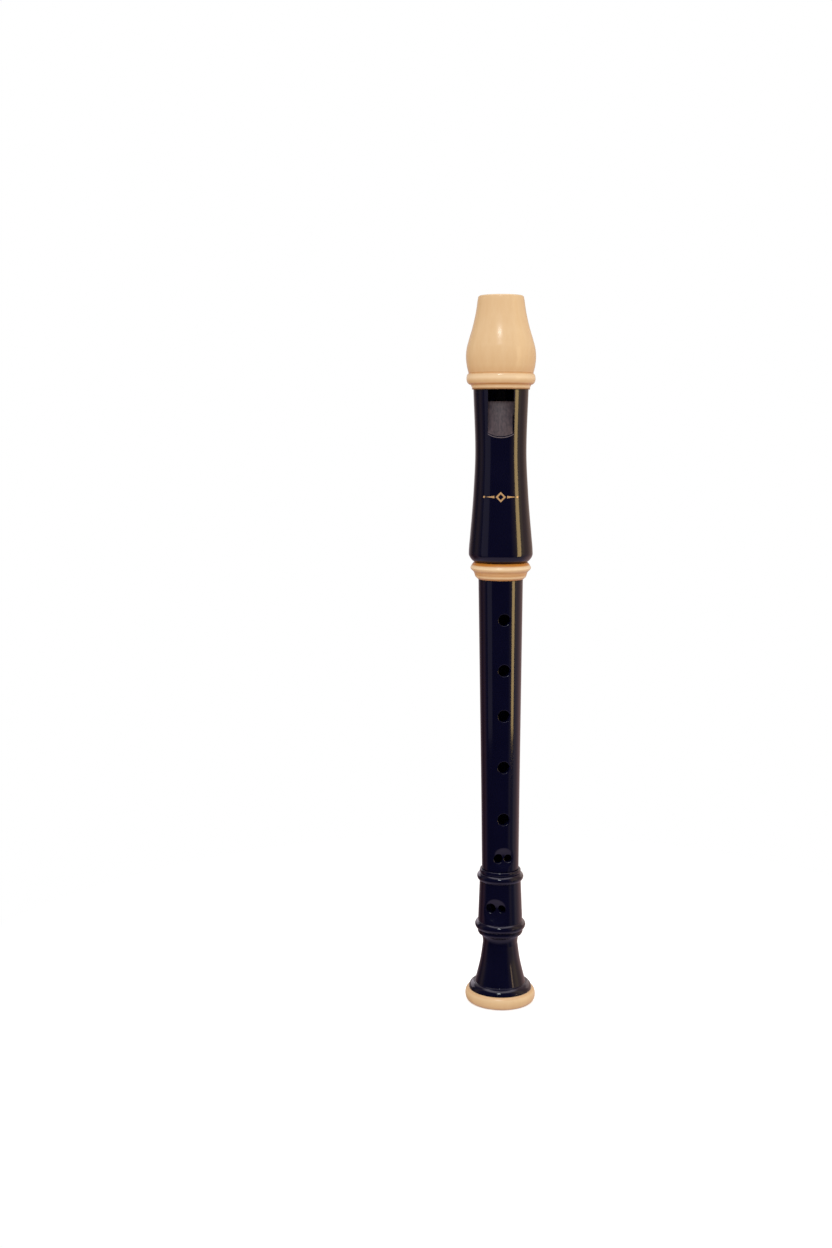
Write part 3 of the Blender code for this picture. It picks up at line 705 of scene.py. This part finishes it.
def holeRings(diameter, wall, rim):
    radius = diameter / 2
    rings = [(radius, wall + drillLook["past"]), (radius, rim)]
    for step in range(1, drillLook["rimSteps"] + 1):
        turn = radians(drillLook["rimTurn"]) * step / drillLook["rimSteps"]
        rings.append((radius + rim * (1 - cos(turn)), rim - rim * sin(turn)))
    last = rings[-1]
    rings.append((last[0] + drillLook["flare"], last[1] - drillLook["flareRise"]))
    rings.append((last[0] + drillLook["flare"], -drillLook["above"]))
    return rings


def drill(piece, diameter, wall, skin, height, turn, offset=0.0, rim=drillLook["rim"]):
    cutter = ringedCutter(holeRings(diameter, wall, rim))
    wrapOnSkin(cutter, skin, height, turn, offset)
    cutter.data.materials.append(navyPlastic)
    carve(piece, cutter)


def doubleHole(piece, values, radiusAt, height):
    # a dish with a large and a small hole in it, side by side
    dish = {
        "height": height + values["scoopRise"], "across": values["scoopAcross"],
        "tall": values["scoopTall"], "depth": values["scoopDepth"], "soft": drillLook["scoopSoft"],
    }
    skin = dishedSkin(radiusAt, dish)
    reach = values["scoopTall"]
    pushIn(piece, skin, radiusAt, values["turn"], height - reach, height + reach)
    for side, diameter in ((-1, values["largeHole"]), (1, values["smallHole"])):
        drill(
            piece, diameter, values["pairWall"], skin, height, values["turn"],
            side * values["spacing"] / 2, drillLook["pairRim"],
        )


def makeFoot(values):
    lipBottom = footTop - values["lip"]
    barrelTop = lipBottom - values["upperBead"]
    barrelEnd = barrelTop - values["barrel"]
    beadEnd = barrelEnd - values["lowerBead"]
    smallBeadEnd = beadEnd - values["smallBead"]
    cove = (values["coveRadius"], smallBeadEnd)
    waist = (values["waistRadius"], smallBeadEnd - values["cove"])
    bellEnd = waist[1] - values["bell"]
    bell = (values["bellRadius"], bellEnd)
    socketEnd = footTop - values["socketDepth"]
    outline = [(values["socketRadius"], footTop)]
    outline += halfRound(footTop, lipBottom, values["lipTop"], values["lipFoot"], values["lipRadius"])
    outline += halfRound(
        lipBottom, barrelTop, values["lipFoot"], values["barrelTopRadius"], values["upperBeadRadius"],
        keen=values["keen"],
    )[1:]
    outline += halfRound(
        barrelEnd, beadEnd, values["barrelEndRadius"], values["barrelEndRadius"], values["lowerBeadRadius"],
        keen=values["keen"],
    )
    outline += [(values["smallBeadRadius"], beadEnd - 0.1)]
    side = (values["smallBeadRadius"], beadEnd - 0.6)
    outline += quarterRound(side, cove, False)
    outline += quarterRound(cove, waist, True)[1:]
    share, radius = values["bellMiddle"]
    middle = (radius, bellEnd + share * values["bell"])
    outline += curveThrough([waist, middle, bell])[1:]
    outline += quarterRound(bell, (values["flangeRadius"], flangeBottom), True)[1:]
    skin = outline[1:]
    outline += [(values["spigotRadius"], flangeBottom), (values["spigotRadius"], values["spigotEnd"])]
    outline += [(values["mouth"], values["spigotEnd"]), (values["boreEnd"], flangeBottom)]
    outline += [(values["boreTop"], socketEnd), (values["socketRadius"], socketEnd)]
    piece = turned("footJoint", softened(outline, values["edge"]), navyPlastic, longest=0.5)
    doubleHole(piece, values, radiusFrom(skin), socketEnd - values["holeDrop"])
    return finished(piece, "foot_joint", "foot")


# Foot end ring
endRingValues = {
    "topRadius": 14.4, "radius": 16.1, "faceRadius": 14.6, "boreRadius": 9.3, "fullest": 0.52, "edge": 0.25,
}


def makeEndRing(values):
    top = flangeBottom - seam
    middle = top * values["fullest"]
    outline = quarterRound((values["topRadius"], top), (values["radius"], middle), True)
    outline += quarterRound((values["radius"], middle), (values["faceRadius"], 0), False)[1:]
    outline += [(values["boreRadius"], 0), (values["boreRadius"], top)]
    piece = turned("footEndRing", softened(outline, values["edge"]), ivoryPlastic)
    return finished(piece, "foot_end_ring", "foot")


# Middle joint
middleValues = {
    "topRadius": 10.3, "bottomRadius": 8.48, "shape": ((0.42, 0.46), (0.77, 0.824)),
    "boreTop": 6.6, "boreEnd": 5.4,
    "upperTenon": 9.3, "lowerTenon": 7.55, "groove": 0.8,
    "upperCork": 12.0, "upperCorkStart": 9.0, "lowerCork": 6.5, "lowerCorkStart": 2.2,
    "turn": radians(10.3),
    "holes": (0.129, 0.304, 0.461, 0.639, 0.819), "holeDiameter": 5.4,
    "thumb": 0.067, "thumbDiameter": 5.0,
    "double": 0.956, "largeHole": 4.15, "smallHole": 3.5, "spacing": 4.5,
    "scoopAcross": 8.7, "scoopTall": 8.8, "scoopDepth": 1.6, "scoopRise": 0.3, "pairWall": 1.8,
    "wall": 4.0,
    "edge": 0.3,
}


def corkGroove(radius, start, length):
    floor = radius - middleValues["groove"]
    return [(radius, start + length), (floor, start + length), (floor, start), (radius, start)]


def makeMiddle(values):
    bottom = footTop + seam
    length = middleTop - (footTop + cadGap)
    taper = values["bottomRadius"] - values["topRadius"]
    stations = []
    for share, part in ((0, 0), *values["shape"], (1, 1)):
        height = middleTop - length * share if share < 1 else bottom
        stations.append((values["topRadius"] + taper * part, height))
    stations[0] = (values["topRadius"], tubeTop)
    tube = curveThrough(stations)
    upper, lower = values["upperTenon"], values["lowerTenon"]
    outline = [(values["boreTop"], middleTip), (upper, middleTip)]
    outline += corkGroove(upper, middleTop + values["upperCorkStart"], values["upperCork"])
    outline += [(upper, tubeTop), *tube, (lower, bottom)]
    outline += corkGroove(lower, middleEnd + values["lowerCorkStart"], values["lowerCork"])
    outline += [(lower, middleEnd), (values["boreEnd"], middleEnd)]
    piece = turned("middleJoint", softened(outline, values["edge"]), navyPlastic, longest=0.6)
    radiusAt = radiusFrom(tube)
    skin = roundSkin(radiusAt)
    for share in values["holes"]:
        height = middleTop - length * share
        drill(piece, values["holeDiameter"], values["wall"], skin, height, values["turn"])
    height = middleTop - length * values["thumb"]
    drill(piece, values["thumbDiameter"], values["wall"], skin, height, values["turn"] + pi)
    doubleHole(piece, values, radiusAt, middleTop - length * values["double"])
    return finished(piece, "middle_joint", "middle")


# Tenon corks
corkValues = {"proud": 0.15, "edge": 0.2}


def makeCork(name, node, body, bottom, length, tenonRadius):
    outer = tenonRadius + corkValues["proud"]
    inner = tenonRadius - middleValues["groove"] + seam
    outline = [(inner, bottom + length - seam), (outer, bottom + length - seam)]
    outline += [(outer, bottom + seam), (inner, bottom + seam)]
    piece = turned(name, softened(outline, corkValues["edge"]), waxedCork)
    return finished(piece, node, body)


# Collar: its shape is (radius, height over its lower end), with a fine groove low down
collarValues = {
    "shape": (
        (12.55, 8.3), (13.0, 7.75), (13.35, 7.25), (13.65, 6.75), (13.92, 6.2), (14.0, 5.75), (13.83, 5.3),
        (13.47, 4.8), (12.92, 4.3), (12.52, 3.9), (12.28, 3.4), (12.2, 3.0), (12.07, 2.7), (11.97, 2.5),
        (11.95, 2.3), (11.86, 2.0), (11.65, 1.6), (11.25, 1.2), (10.9, 0.95),
    ),
    "mouthRadius": 10.5, "boreRadius": 9.75, "seatRadius": 10.8, "seatDepth": 3.75,
    "edge": 0.2,
}


def makeCollar(values):
    top = headEnd - seam
    bottom = tubeTop + seam
    stations = [(radius, collarBottom + height) for radius, height in values["shape"]]
    outline = curveThrough(stations, 4)
    outline += [(values["mouthRadius"], bottom), (values["boreRadius"], bottom)]
    outline += [(values["boreRadius"], headBottom - values["seatDepth"])]
    outline += [(values["seatRadius"], headBottom - values["seatDepth"]), (values["seatRadius"], top)]
    piece = turned("collarRing", softened(outline, values["edge"]), ivoryPlastic)
    return finished(piece, "collar_ring", "head")


# Head joint, and the cutters that it shares with the block and the cap
# The beak's back is cut by a big cylinder across it
beakCut = {"radius": 45.0, "behind": 45.3, "rise": 3.7}
trimRadius = beakCut["radius"] + capWall + 0.1


def boxCutter(low, high):
    deselectAll()
    centre = [(a + b) / 2 * mm for a, b in zip(low, high)]
    size = [(b - a) * mm for a, b in zip(low, high)]
    bpy.ops.mesh.primitive_cube_add(size=1, location=centre, scale=size)
    return settle(bpy.context.object)


def roundCutter(radius, low, high):
    deselectAll()
    bpy.ops.mesh.primitive_cylinder_add(
        vertices=96, radius=radius * mm, depth=(high - low) * mm, location=(0, 0, (low + high) / 2 * mm)
    )
    return settle(bpy.context.object)


def backCylinder(radius):
    deselectAll()
    bpy.ops.mesh.primitive_cylinder_add(
        vertices=360, radius=radius * mm, depth=60 * mm, rotation=(0, pi / 2, 0),
        location=(0, beakCut["behind"] * mm, (capTop + beakCut["rise"]) * mm),
    )
    return settle(bpy.context.object)


windowCut = {"strips": 16, "longer": 12, "above": 8}


def windowCutter(values):
    # a flat prism is cut into strips, and its points are lowered to arch the ramp
    deselectAll()
    half = values["windowWidth"] / 2
    low = labiumHeight - values["ramp"] - windowCut["longer"]
    outside = values["labium"] + (labiumHeight - low) * rampSlope
    bpy.ops.mesh.primitive_cube_add(size=1, location=(0, 0, 0), scale=(2 * half * mm, mm, mm))
    cutter = bpy.context.object
    bpy.ops.object.transform_apply()
    editAll()
    for step in range(1, windowCut["strips"]):
        across = (-half + 2 * half * step / windowCut["strips"]) * mm
        bpy.ops.mesh.select_all(action="SELECT")
        bpy.ops.mesh.bisect(plane_co=(across, 0, 0), plane_no=(1, 0, 0))
    leaveEdit()
    for vertex in cutter.data.vertices:
        across = vertex.co.x / mm
        arch = sqrt(values["arch"] ** 2 - across**2) - sqrt(values["arch"] ** 2 - half**2)
        front = vertex.co.y < 0
        if vertex.co.z < 0:
            vertex.co.y = (-outside - arch if front else -values["labium"] - arch) * mm
            vertex.co.z = (low if front else labiumHeight) * mm
        else:
            vertex.co.y = (-outside - windowCut["above"] if front else -values["labium"] - arch) * mm
            vertex.co.z = capEnd * mm
    cutter.data.materials.append(honedNavy)
    return settle(cutter)


def makeHead(values):
    waist = (values["waistRadius"], headTop - values["waistDrop"])
    bulge = (values["bulgeRadius"], headBottom + values["bulgeHeight"])
    stations = [(values["topRadius"], shoulder), waist]
    for share, radius in values["flare"]:
        stations.append((radius, bulge[1] + (waist[1] - bulge[1]) * share))
    stations.append(bulge)
    for share, radius in values["footShape"]:
        stations.append((radius, bulge[1] - values["bulgeHeight"] * share))
    webBottom = labiumHeight - values["web"]
    socketTop = middleTop + values["socketTop"]
    outline = [(0, spigotTip), (values["spigotRadius"], spigotTip), (values["spigotRadius"], shoulder)]
    outline += curveThrough(stations)
    outline += [(values["seatRadius"], headEnd), (values["seatRadius"], spigotEnd)]
    outline += [(values["socketRadius"], spigotEnd), (values["socketRadius"], socketTop)]
    outline += [(values["boreRadius"], socketTop), (values["boreRadius"], webBottom), (0, webBottom)]
    piece = turned("headJoint", softened(outline, values["edge"], closed=False), giltNavyEdgeHighlight, longest=0.8)

    above = spigotTip + values["past"]
    seat = roundCutter(values["blockSeat"], webBottom - 1, above + 2)
    pick(seat)
    editAll()
    bpy.ops.mesh.bisect(
        plane_co=(0, -values["labium"] * mm, 0), plane_no=(0, -1, 0), use_fill=True, clear_outer=True
    )
    settle(seat)
    carve(piece, seat)
    bed = values["windowWidth"] / 2 + values["margin"]
    carve(piece, boxCutter((-bed, -values["labium"], webBottom), (bed, -values["inner"], above)))
    carve(piece, windowCutter(values))
    side = values["windowWidth"] / 2
    opening = boxCutter((-side, -values["outer"], labiumHeight), (side, -values["inner"], capEnd))
    opening.data.materials.append(honedNavy)
    carve(piece, opening)
    roof = values["floor"] + values["slot"]
    half = values["windway"] / 2
    under = capBottom - values["cutUp"] / 2
    carve(piece, boxCutter((-half, -roof, under), (half, -values["floor"] + 1, above)))
    carve(piece, backCylinder(trimRadius))
    return finished(piece, "head_joint", "head")


def makeBlock(values):
    radius = values["blockSeat"] - 0.1
    outline = [(0, spigotTip), (radius, spigotTip), (radius, capEnd), (0, capEnd)]
    piece = turned("block", outline, blockPlastic)
    out, past = values["outer"], values["past"]
    carve(piece, boxCutter((-out, -out, capBottom - past), (out, -values["floor"], spigotTip + past)))
    carve(piece, backCylinder(trimRadius))
    return finished(piece, "block", "head")


# Beak cap
capValues = {
    "tipRadius": 10.65, "tipRound": 1.0, "bulgeRadius": 16.25, "bulgeHeight": 15.8,
    "shape": (
        (0.952, 0.045), (0.849, 0.111), (0.746, 0.191), (0.647, 0.289), (0.544, 0.402),
        (0.441, 0.536), (0.338, 0.6875), (0.235, 0.827), (0.136, 0.943),
    ),
    "grooveRadius": 15.0, "grooveHeight": 7.9, "beadRadius": 16.0, "beadHeight": 5.4,
    "stepRadius": 14.1, "stepHeight": 2.7, "lipRadius": 13.45, "lipHeight": 1.4,
    "boreRadius": 9.3, "cornerSoft": 1.3,
    "slotPast": 3.0, "cavityPast": 20.0, "uncut": 99.0,
    "edge": 0.15, "around": 144,
}


def capSection(radius, cut, count, soft):
    # one level of the beak: a circle with its back cut off straight, its corners soft
    turns = [2 * pi * step / count for step in range(count)]
    if cut > radius + soft:
        return [(radius * sin(turn), -radius * cos(turn)) for turn in turns]
    middle = (min(cut, radius) - radius) / 2
    points = []
    for turn in turns:
        dx, dy = sin(turn), -cos(turn)
        reach = -middle * dy + sqrt((middle * dy) ** 2 - (middle**2 - radius**2))
        if dy > 0:
            reach = smoothLeast(reach, (cut - middle) / dy, soft)
        points.append((reach * dx, middle + reach * dy))
    return points


def makeCap(values):
    bulge, groove, bead, step, lip = (
        (values[name + "Radius"], capBottom + values[name + "Height"])
        for name in ("bulge", "groove", "bead", "step", "lip")
    )
    rim = (values["tipRadius"], capTop - values["tipRound"])
    stations = [rim]
    for share, swell in values["shape"]:
        stations.append((rim[0] + (bulge[0] - rim[0]) * swell, bulge[1] + (rim[1] - bulge[1]) * share))
    stations.append(bulge)
    stations.append(((bulge[0] * 2 + groove[0]) / 3, groove[1] + (bulge[1] - groove[1]) * 0.45))
    stations.append(groove)
    bottom = shoulder + seam
    outline = quarterRound((rim[0] - values["tipRound"], capTop), rim, True, 8)
    outline += curveThrough(stations)[1:]
    outline += quarterRound(groove, bead, True)[1:]
    outline += quarterRound(bead, step, False)[1:]
    outline += [lip, (values["lipRadius"], bottom)]
    outline = softened(outline, values["edge"], closed=False)
    outline = spacedOut(outline, 0.7, closed=False)
    deselectAll()
    count = values["around"]
    bpy.ops.mesh.primitive_circle_add(
        vertices=count, radius=outline[0][0] * mm, fill_type="NGON", location=(0, 0, outline[0][1] * mm)
    )
    piece = bpy.context.object
    piece.name = "beakCap"
    bpy.ops.object.transform_apply()
    editAll()
    for before, after in zip(outline, outline[1:]):
        stepBy = (0, 0, (after[1] - before[1]) * mm)
        bpy.ops.mesh.extrude_region_move(TRANSFORM_OT_translate={"value": stepBy})
    leaveEdit()
    centre = capTop + beakCut["rise"]
    # the rings lie in the order in which they were extruded
    for level, (ringRadius, height) in enumerate(outline):
        rise = centre - height
        cut = values["uncut"]
        if rise < beakCut["radius"]:
            cut = beakCut["behind"] - sqrt(beakCut["radius"] ** 2 - rise**2)
        inset = values["tipRound"] - sqrt(
            max(values["tipRound"] ** 2 - max(height - rim[1], 0) ** 2, 0)
        )
        section = capSection(ringRadius, cut - inset, count, values["cornerSoft"])
        for index, (x, y) in enumerate(section):
            piece.data.vertices[level * count + index].co = (x * mm, y * mm, height * mm)
    tidyMesh(piece)
    piece.data.materials.append(ivoryPlastic)

    cavityTop = capTop - capWall
    cavity = roundCutter(values["boreRadius"], bottom - values["cavityPast"], cavityTop)
    carve(cavity, backCylinder(beakCut["radius"] + capWall))
    carve(piece, cavity)
    half = headValues["windway"] / 2
    roof = headValues["floor"] + headValues["slot"]
    past = values["slotPast"]
    floor = headValues["floor"]
    carve(piece, boxCutter((-half, -roof, cavityTop - past), (half, -floor, capTop + past)))
    return finished(piece, "beak_cap", "head")


makeFoot(footValues)
makeEndRing(endRingValues)
makeMiddle(middleValues)
makeCork(
    "lowerTenonCork", "lower_tenon_cork", "lower_cork", middleEnd + middleValues["lowerCorkStart"],
    middleValues["lowerCork"], middleValues["lowerTenon"],
)
makeCork(
    "upperTenonCork", "upper_tenon_cork", "upper_cork", middleTop + middleValues["upperCorkStart"],
    middleValues["upperCork"], middleValues["upperTenon"],
)
makeCollar(collarValues)
makeHead(headValues)
makeBlock(headValues)
makeCap(capValues)


# Floor, world, lamps and camera
floorLook = {
    "half": 3.0, "under": 0.0002, "colour": (0.60, 0.45, 0.32), "grey": (0.8, 0.8, 0.8), "lift": 0.55,
    "near": 0.05, "far": 0.28,
}
white = (1.0, 1.0, 1.0)


def makeFloor(look):
    # the camera sees it white with the shadow; reflections look through it at the room
    deselectAll()
    bpy.ops.mesh.primitive_plane_add(size=2 * look["half"], location=(0, 0, -look["under"]))
    floor = bpy.context.object
    floor.name = "floor"
    material = bpy.data.materials.new("paleFloor")
    material.use_nodes = True
    graph = Graph(material.node_tree)
    graph.tree.nodes.remove(graph.tree.nodes["Principled BSDF"])
    x, y, z = graph.parts(graph.add("NewGeometry", {}, output="Position"))
    away = (x * x + y * y).root().between(look["near"], look["far"])
    far = graph.add("Emission", {}, Color=white, Strength=1.0)
    lifted = graph.add("Emission", {}, Color=white, Strength=look["lift"])
    neutral = graph.add("BsdfDiffuse", {}, Color=look["grey"])
    near = graph.add("AddShader", {}, neutral, lifted)
    seen = graph.add("MixShader", {}, away, near, far)
    bounced = graph.add("BsdfDiffuse", {}, Color=look["colour"])
    clear = graph.add("BsdfTransparent", {})
    direct = graph.ray("Is Camera Ray")
    mirrored = graph.ray("Is Glossy Ray")
    unseen = graph.add("MixShader", {}, mirrored, bounced, clear)
    both = graph.add("MixShader", {}, direct, unseen, seen)
    graph.feed(graph.tree.nodes["Material Output"].inputs["Surface"], both)
    floor.data.materials.append(material)


# The room that the polished plastic mirrors: azimuth from the camera's side towards +X, and colour
roomLook = (
    (-180, (0.60, 0.52, 0.52)), (-150, (0.48, 0.40, 0.40)), (-136, (0.24, 0.16, 0.14)),
    (-122, (0.09, 0.06, 0.03)), (-113, (0.05, 0.04, 0.02)), (-105, (0.16, 0.12, 0.06)),
    (-95, (0.26, 0.18, 0.12)), (-85, (0.12, 0.10, 0.07)), (-76, (0.03, 0.03, 0.04)),
    (-34, (0.012, 0.012, 0.014)), (38, (0.012, 0.012, 0.014)),
    (48, (0.14, 0.11, 0.08)), (56, (0.25, 0.18, 0.10)), (82, (0.80, 0.60, 0.30)),
    (90, (0.80, 0.60, 0.32)), (97, (0.55, 0.38, 0.23)), (112, (0.48, 0.33, 0.21)),
    (128, (0.66, 0.44, 0.32)), (155, (0.60, 0.44, 0.36)), (180, (0.60, 0.52, 0.52)),
)
lowRoomLook = (
    (-180, (0.45, 0.34, 0.36)), (-146, (0.30, 0.20, 0.22)), (-130, (0.15, 0.08, 0.06)),
    (-118, (0.09, 0.03, 0.02)), (-108, (0.20, 0.09, 0.05)), (-98, (0.25, 0.12, 0.13)),
    (-88, (0.08, 0.06, 0.07)), (-80, (0.008, 0.008, 0.012)), (45, (0.008, 0.008, 0.012)),
    (57, (0.20, 0.17, 0.15)), (68, (0.06, 0.07, 0.08)), (78, (0.12, 0.12, 0.14)),
    (88, (0.40, 0.36, 0.36)), (102, (0.45, 0.32, 0.32)), (122, (0.70, 0.45, 0.42)),
    (136, (0.72, 0.46, 0.42)), (160, (0.60, 0.42, 0.40)), (180, (0.45, 0.34, 0.36)),
)
worldLook = {
    "lowStart": -0.03, "lowEnd": -0.20, "deepStart": -0.50, "deepEnd": -0.72, "deep": (0.45, 0.37, 0.52),
    "highStart": 0.80, "highEnd": 0.90, "high": (1.8, 1.65, 1.85),
    "left": (0.90, 0.72, 0.58), "right": (1.28, 1.10, 0.92), "above": (1.02, 1.12, 1.20),
}


def makeWorld(look):
    # white where it is seen directly; mirrored it is the room, and it lights everything evenly
    world = bpy.data.worlds.new("studio")
    bpy.context.scene.world = world
    world.use_nodes = True
    graph = Graph(world.node_tree)
    graph.tree.nodes.remove(graph.tree.nodes["Background"])
    x, y, z = graph.parts(graph.add("TexCoord", {}, output="Generated"))
    azimuth = graph.add("Math", {"operation": "ARCTAN2"}, x, y * -1.0)
    walls = []
    for room in (roomLook, lowRoomLook):
        stops = [(0.5 + degree / 360, colour) for degree, colour in room]
        walls.append(graph.add("ValToRGB", {"stops": stops}, azimuth / (2 * pi) + 0.5))
    low = z.between(look["lowStart"], look["lowEnd"])
    deep = z.between(look["deepStart"], look["deepEnd"])
    around = graph.blend(deep, graph.blend(low, *walls), look["deep"])
    high = z.between(look["highStart"], look["highEnd"])
    around = graph.blend(high, around, look["high"])
    sides = graph.blend(x * 0.5 + 0.5, look["left"], look["right"])
    plain = graph.blend((z * z).held() * z.above(0.0), sides, look["above"])
    mirrored = graph.ray("Is Glossy Ray")
    direct = graph.ray("Is Camera Ray")
    colour = graph.blend(direct, graph.blend(mirrored, plain, around), white)
    glow = graph.add("Background", {}, Color=colour, Strength=1.0)
    graph.feed(graph.tree.nodes["World Output"].inputs["Surface"], glow)


# Lamps: name, azimuth from the camera's side towards +X, elevation, distance, width and height (metres),
# the height looked at, radiance, colour, pieces. One that names pieces is only a reflection in those.
lampLook = (
    ("amberStrip", 70, 0, 0.45, 0.125, 0.33, 0.186, 6.4, (1.0, 0.70, 0.28), ("headJoint", "middleJoint")),
    ("amberBeak", 60, 0, 0.45, 0.09, 0.33, 0.30, 1.7, (1.0, 0.82, 0.50), ("beakCap",)),
    ("amberFoot", 60, 0, 0.45, 0.04, 0.06, 0.05, 3.0, (1.0, 0.70, 0.42), ("footJoint",)),
    ("footBackLeft", -145, 16, 0.50, 0.40, 0.20, 0.03, 1.1, (0.96, 0.87, 1.0), ("footJoint",)),
    ("footBackRight", 145, 16, 0.50, 0.40, 0.20, 0.03, 0.6, (1.0, 0.85, 0.85), ("footJoint",)),
    ("leftPanel", -60, 0, 0.50, 0.24, 0.40, 0.205, 0.25, (0.92, 0.84, 1.0), ("headJoint", "middleJoint")),
    ("softbox", -5, 44, 2.6, 0.50, 0.44, 0.16, 17.0, (0.90, 0.97, 1.0), ()),
)
wattsPerRadiance = pi  # for each square metre of an area lamp


def makeLamp(name, azimuth, elevation, distance, wide, tall, height, radiance, colour, pieces):
    lamp = bpy.data.lights.new(name, "AREA")
    lamp.shape = "RECTANGLE"
    lamp.size = wide
    lamp.size_y = tall
    lamp.energy = radiance * wide * tall * wattsPerRadiance
    lamp.color = colour
    holder = bpy.data.objects.new(name, lamp)
    bpy.context.scene.collection.objects.link(holder)
    turn, lean = radians(azimuth), radians(elevation)
    flat = distance * cos(lean)
    holder.location = (flat * sin(turn), -flat * cos(turn), height + distance * sin(lean))
    holder.rotation_euler = (pi / 2 - lean, 0, turn)
    holder.visible_camera = False
    if pieces:
        holder.visible_diffuse = False
        lit = bpy.data.collections.new(name + "Lit")
        for piece in pieces:
            lit.objects.link(bpy.data.objects[piece])
        holder.light_linking.receiver_collection = lit


# The photograph's view: level, parallel to the recorder, from in front of its upper half
cameraLook = {
    "distance": 0.6965, "height": 0.2655, "yaw": 3.239, "roll": -0.085,
    "lens": 43.27, "film": 36.0, "rise": -0.1595, "near": 0.01,
}


def makeCamera(look):
    data = bpy.data.cameras.new("viewCamera")
    data.sensor_fit = "VERTICAL"
    data.sensor_height = look["film"]
    data.lens = look["lens"]
    data.shift_y = look["rise"]
    data.clip_start = look["near"]
    camera = bpy.data.objects.new("viewCamera", data)
    bpy.context.scene.collection.objects.link(camera)
    camera.location = (0, -look["distance"], look["height"])
    camera.rotation_euler = (pi / 2, radians(look["roll"]), radians(look["yaw"]))
    bpy.context.scene.camera = camera


makeFloor(floorLook)
makeWorld(worldLook)
for lamp in lampLook:
    makeLamp(*lamp)
makeCamera(cameraLook)
bpy.context.scene.view_settings.view_transform = "Standard"
print("stage, lamps and camera set")
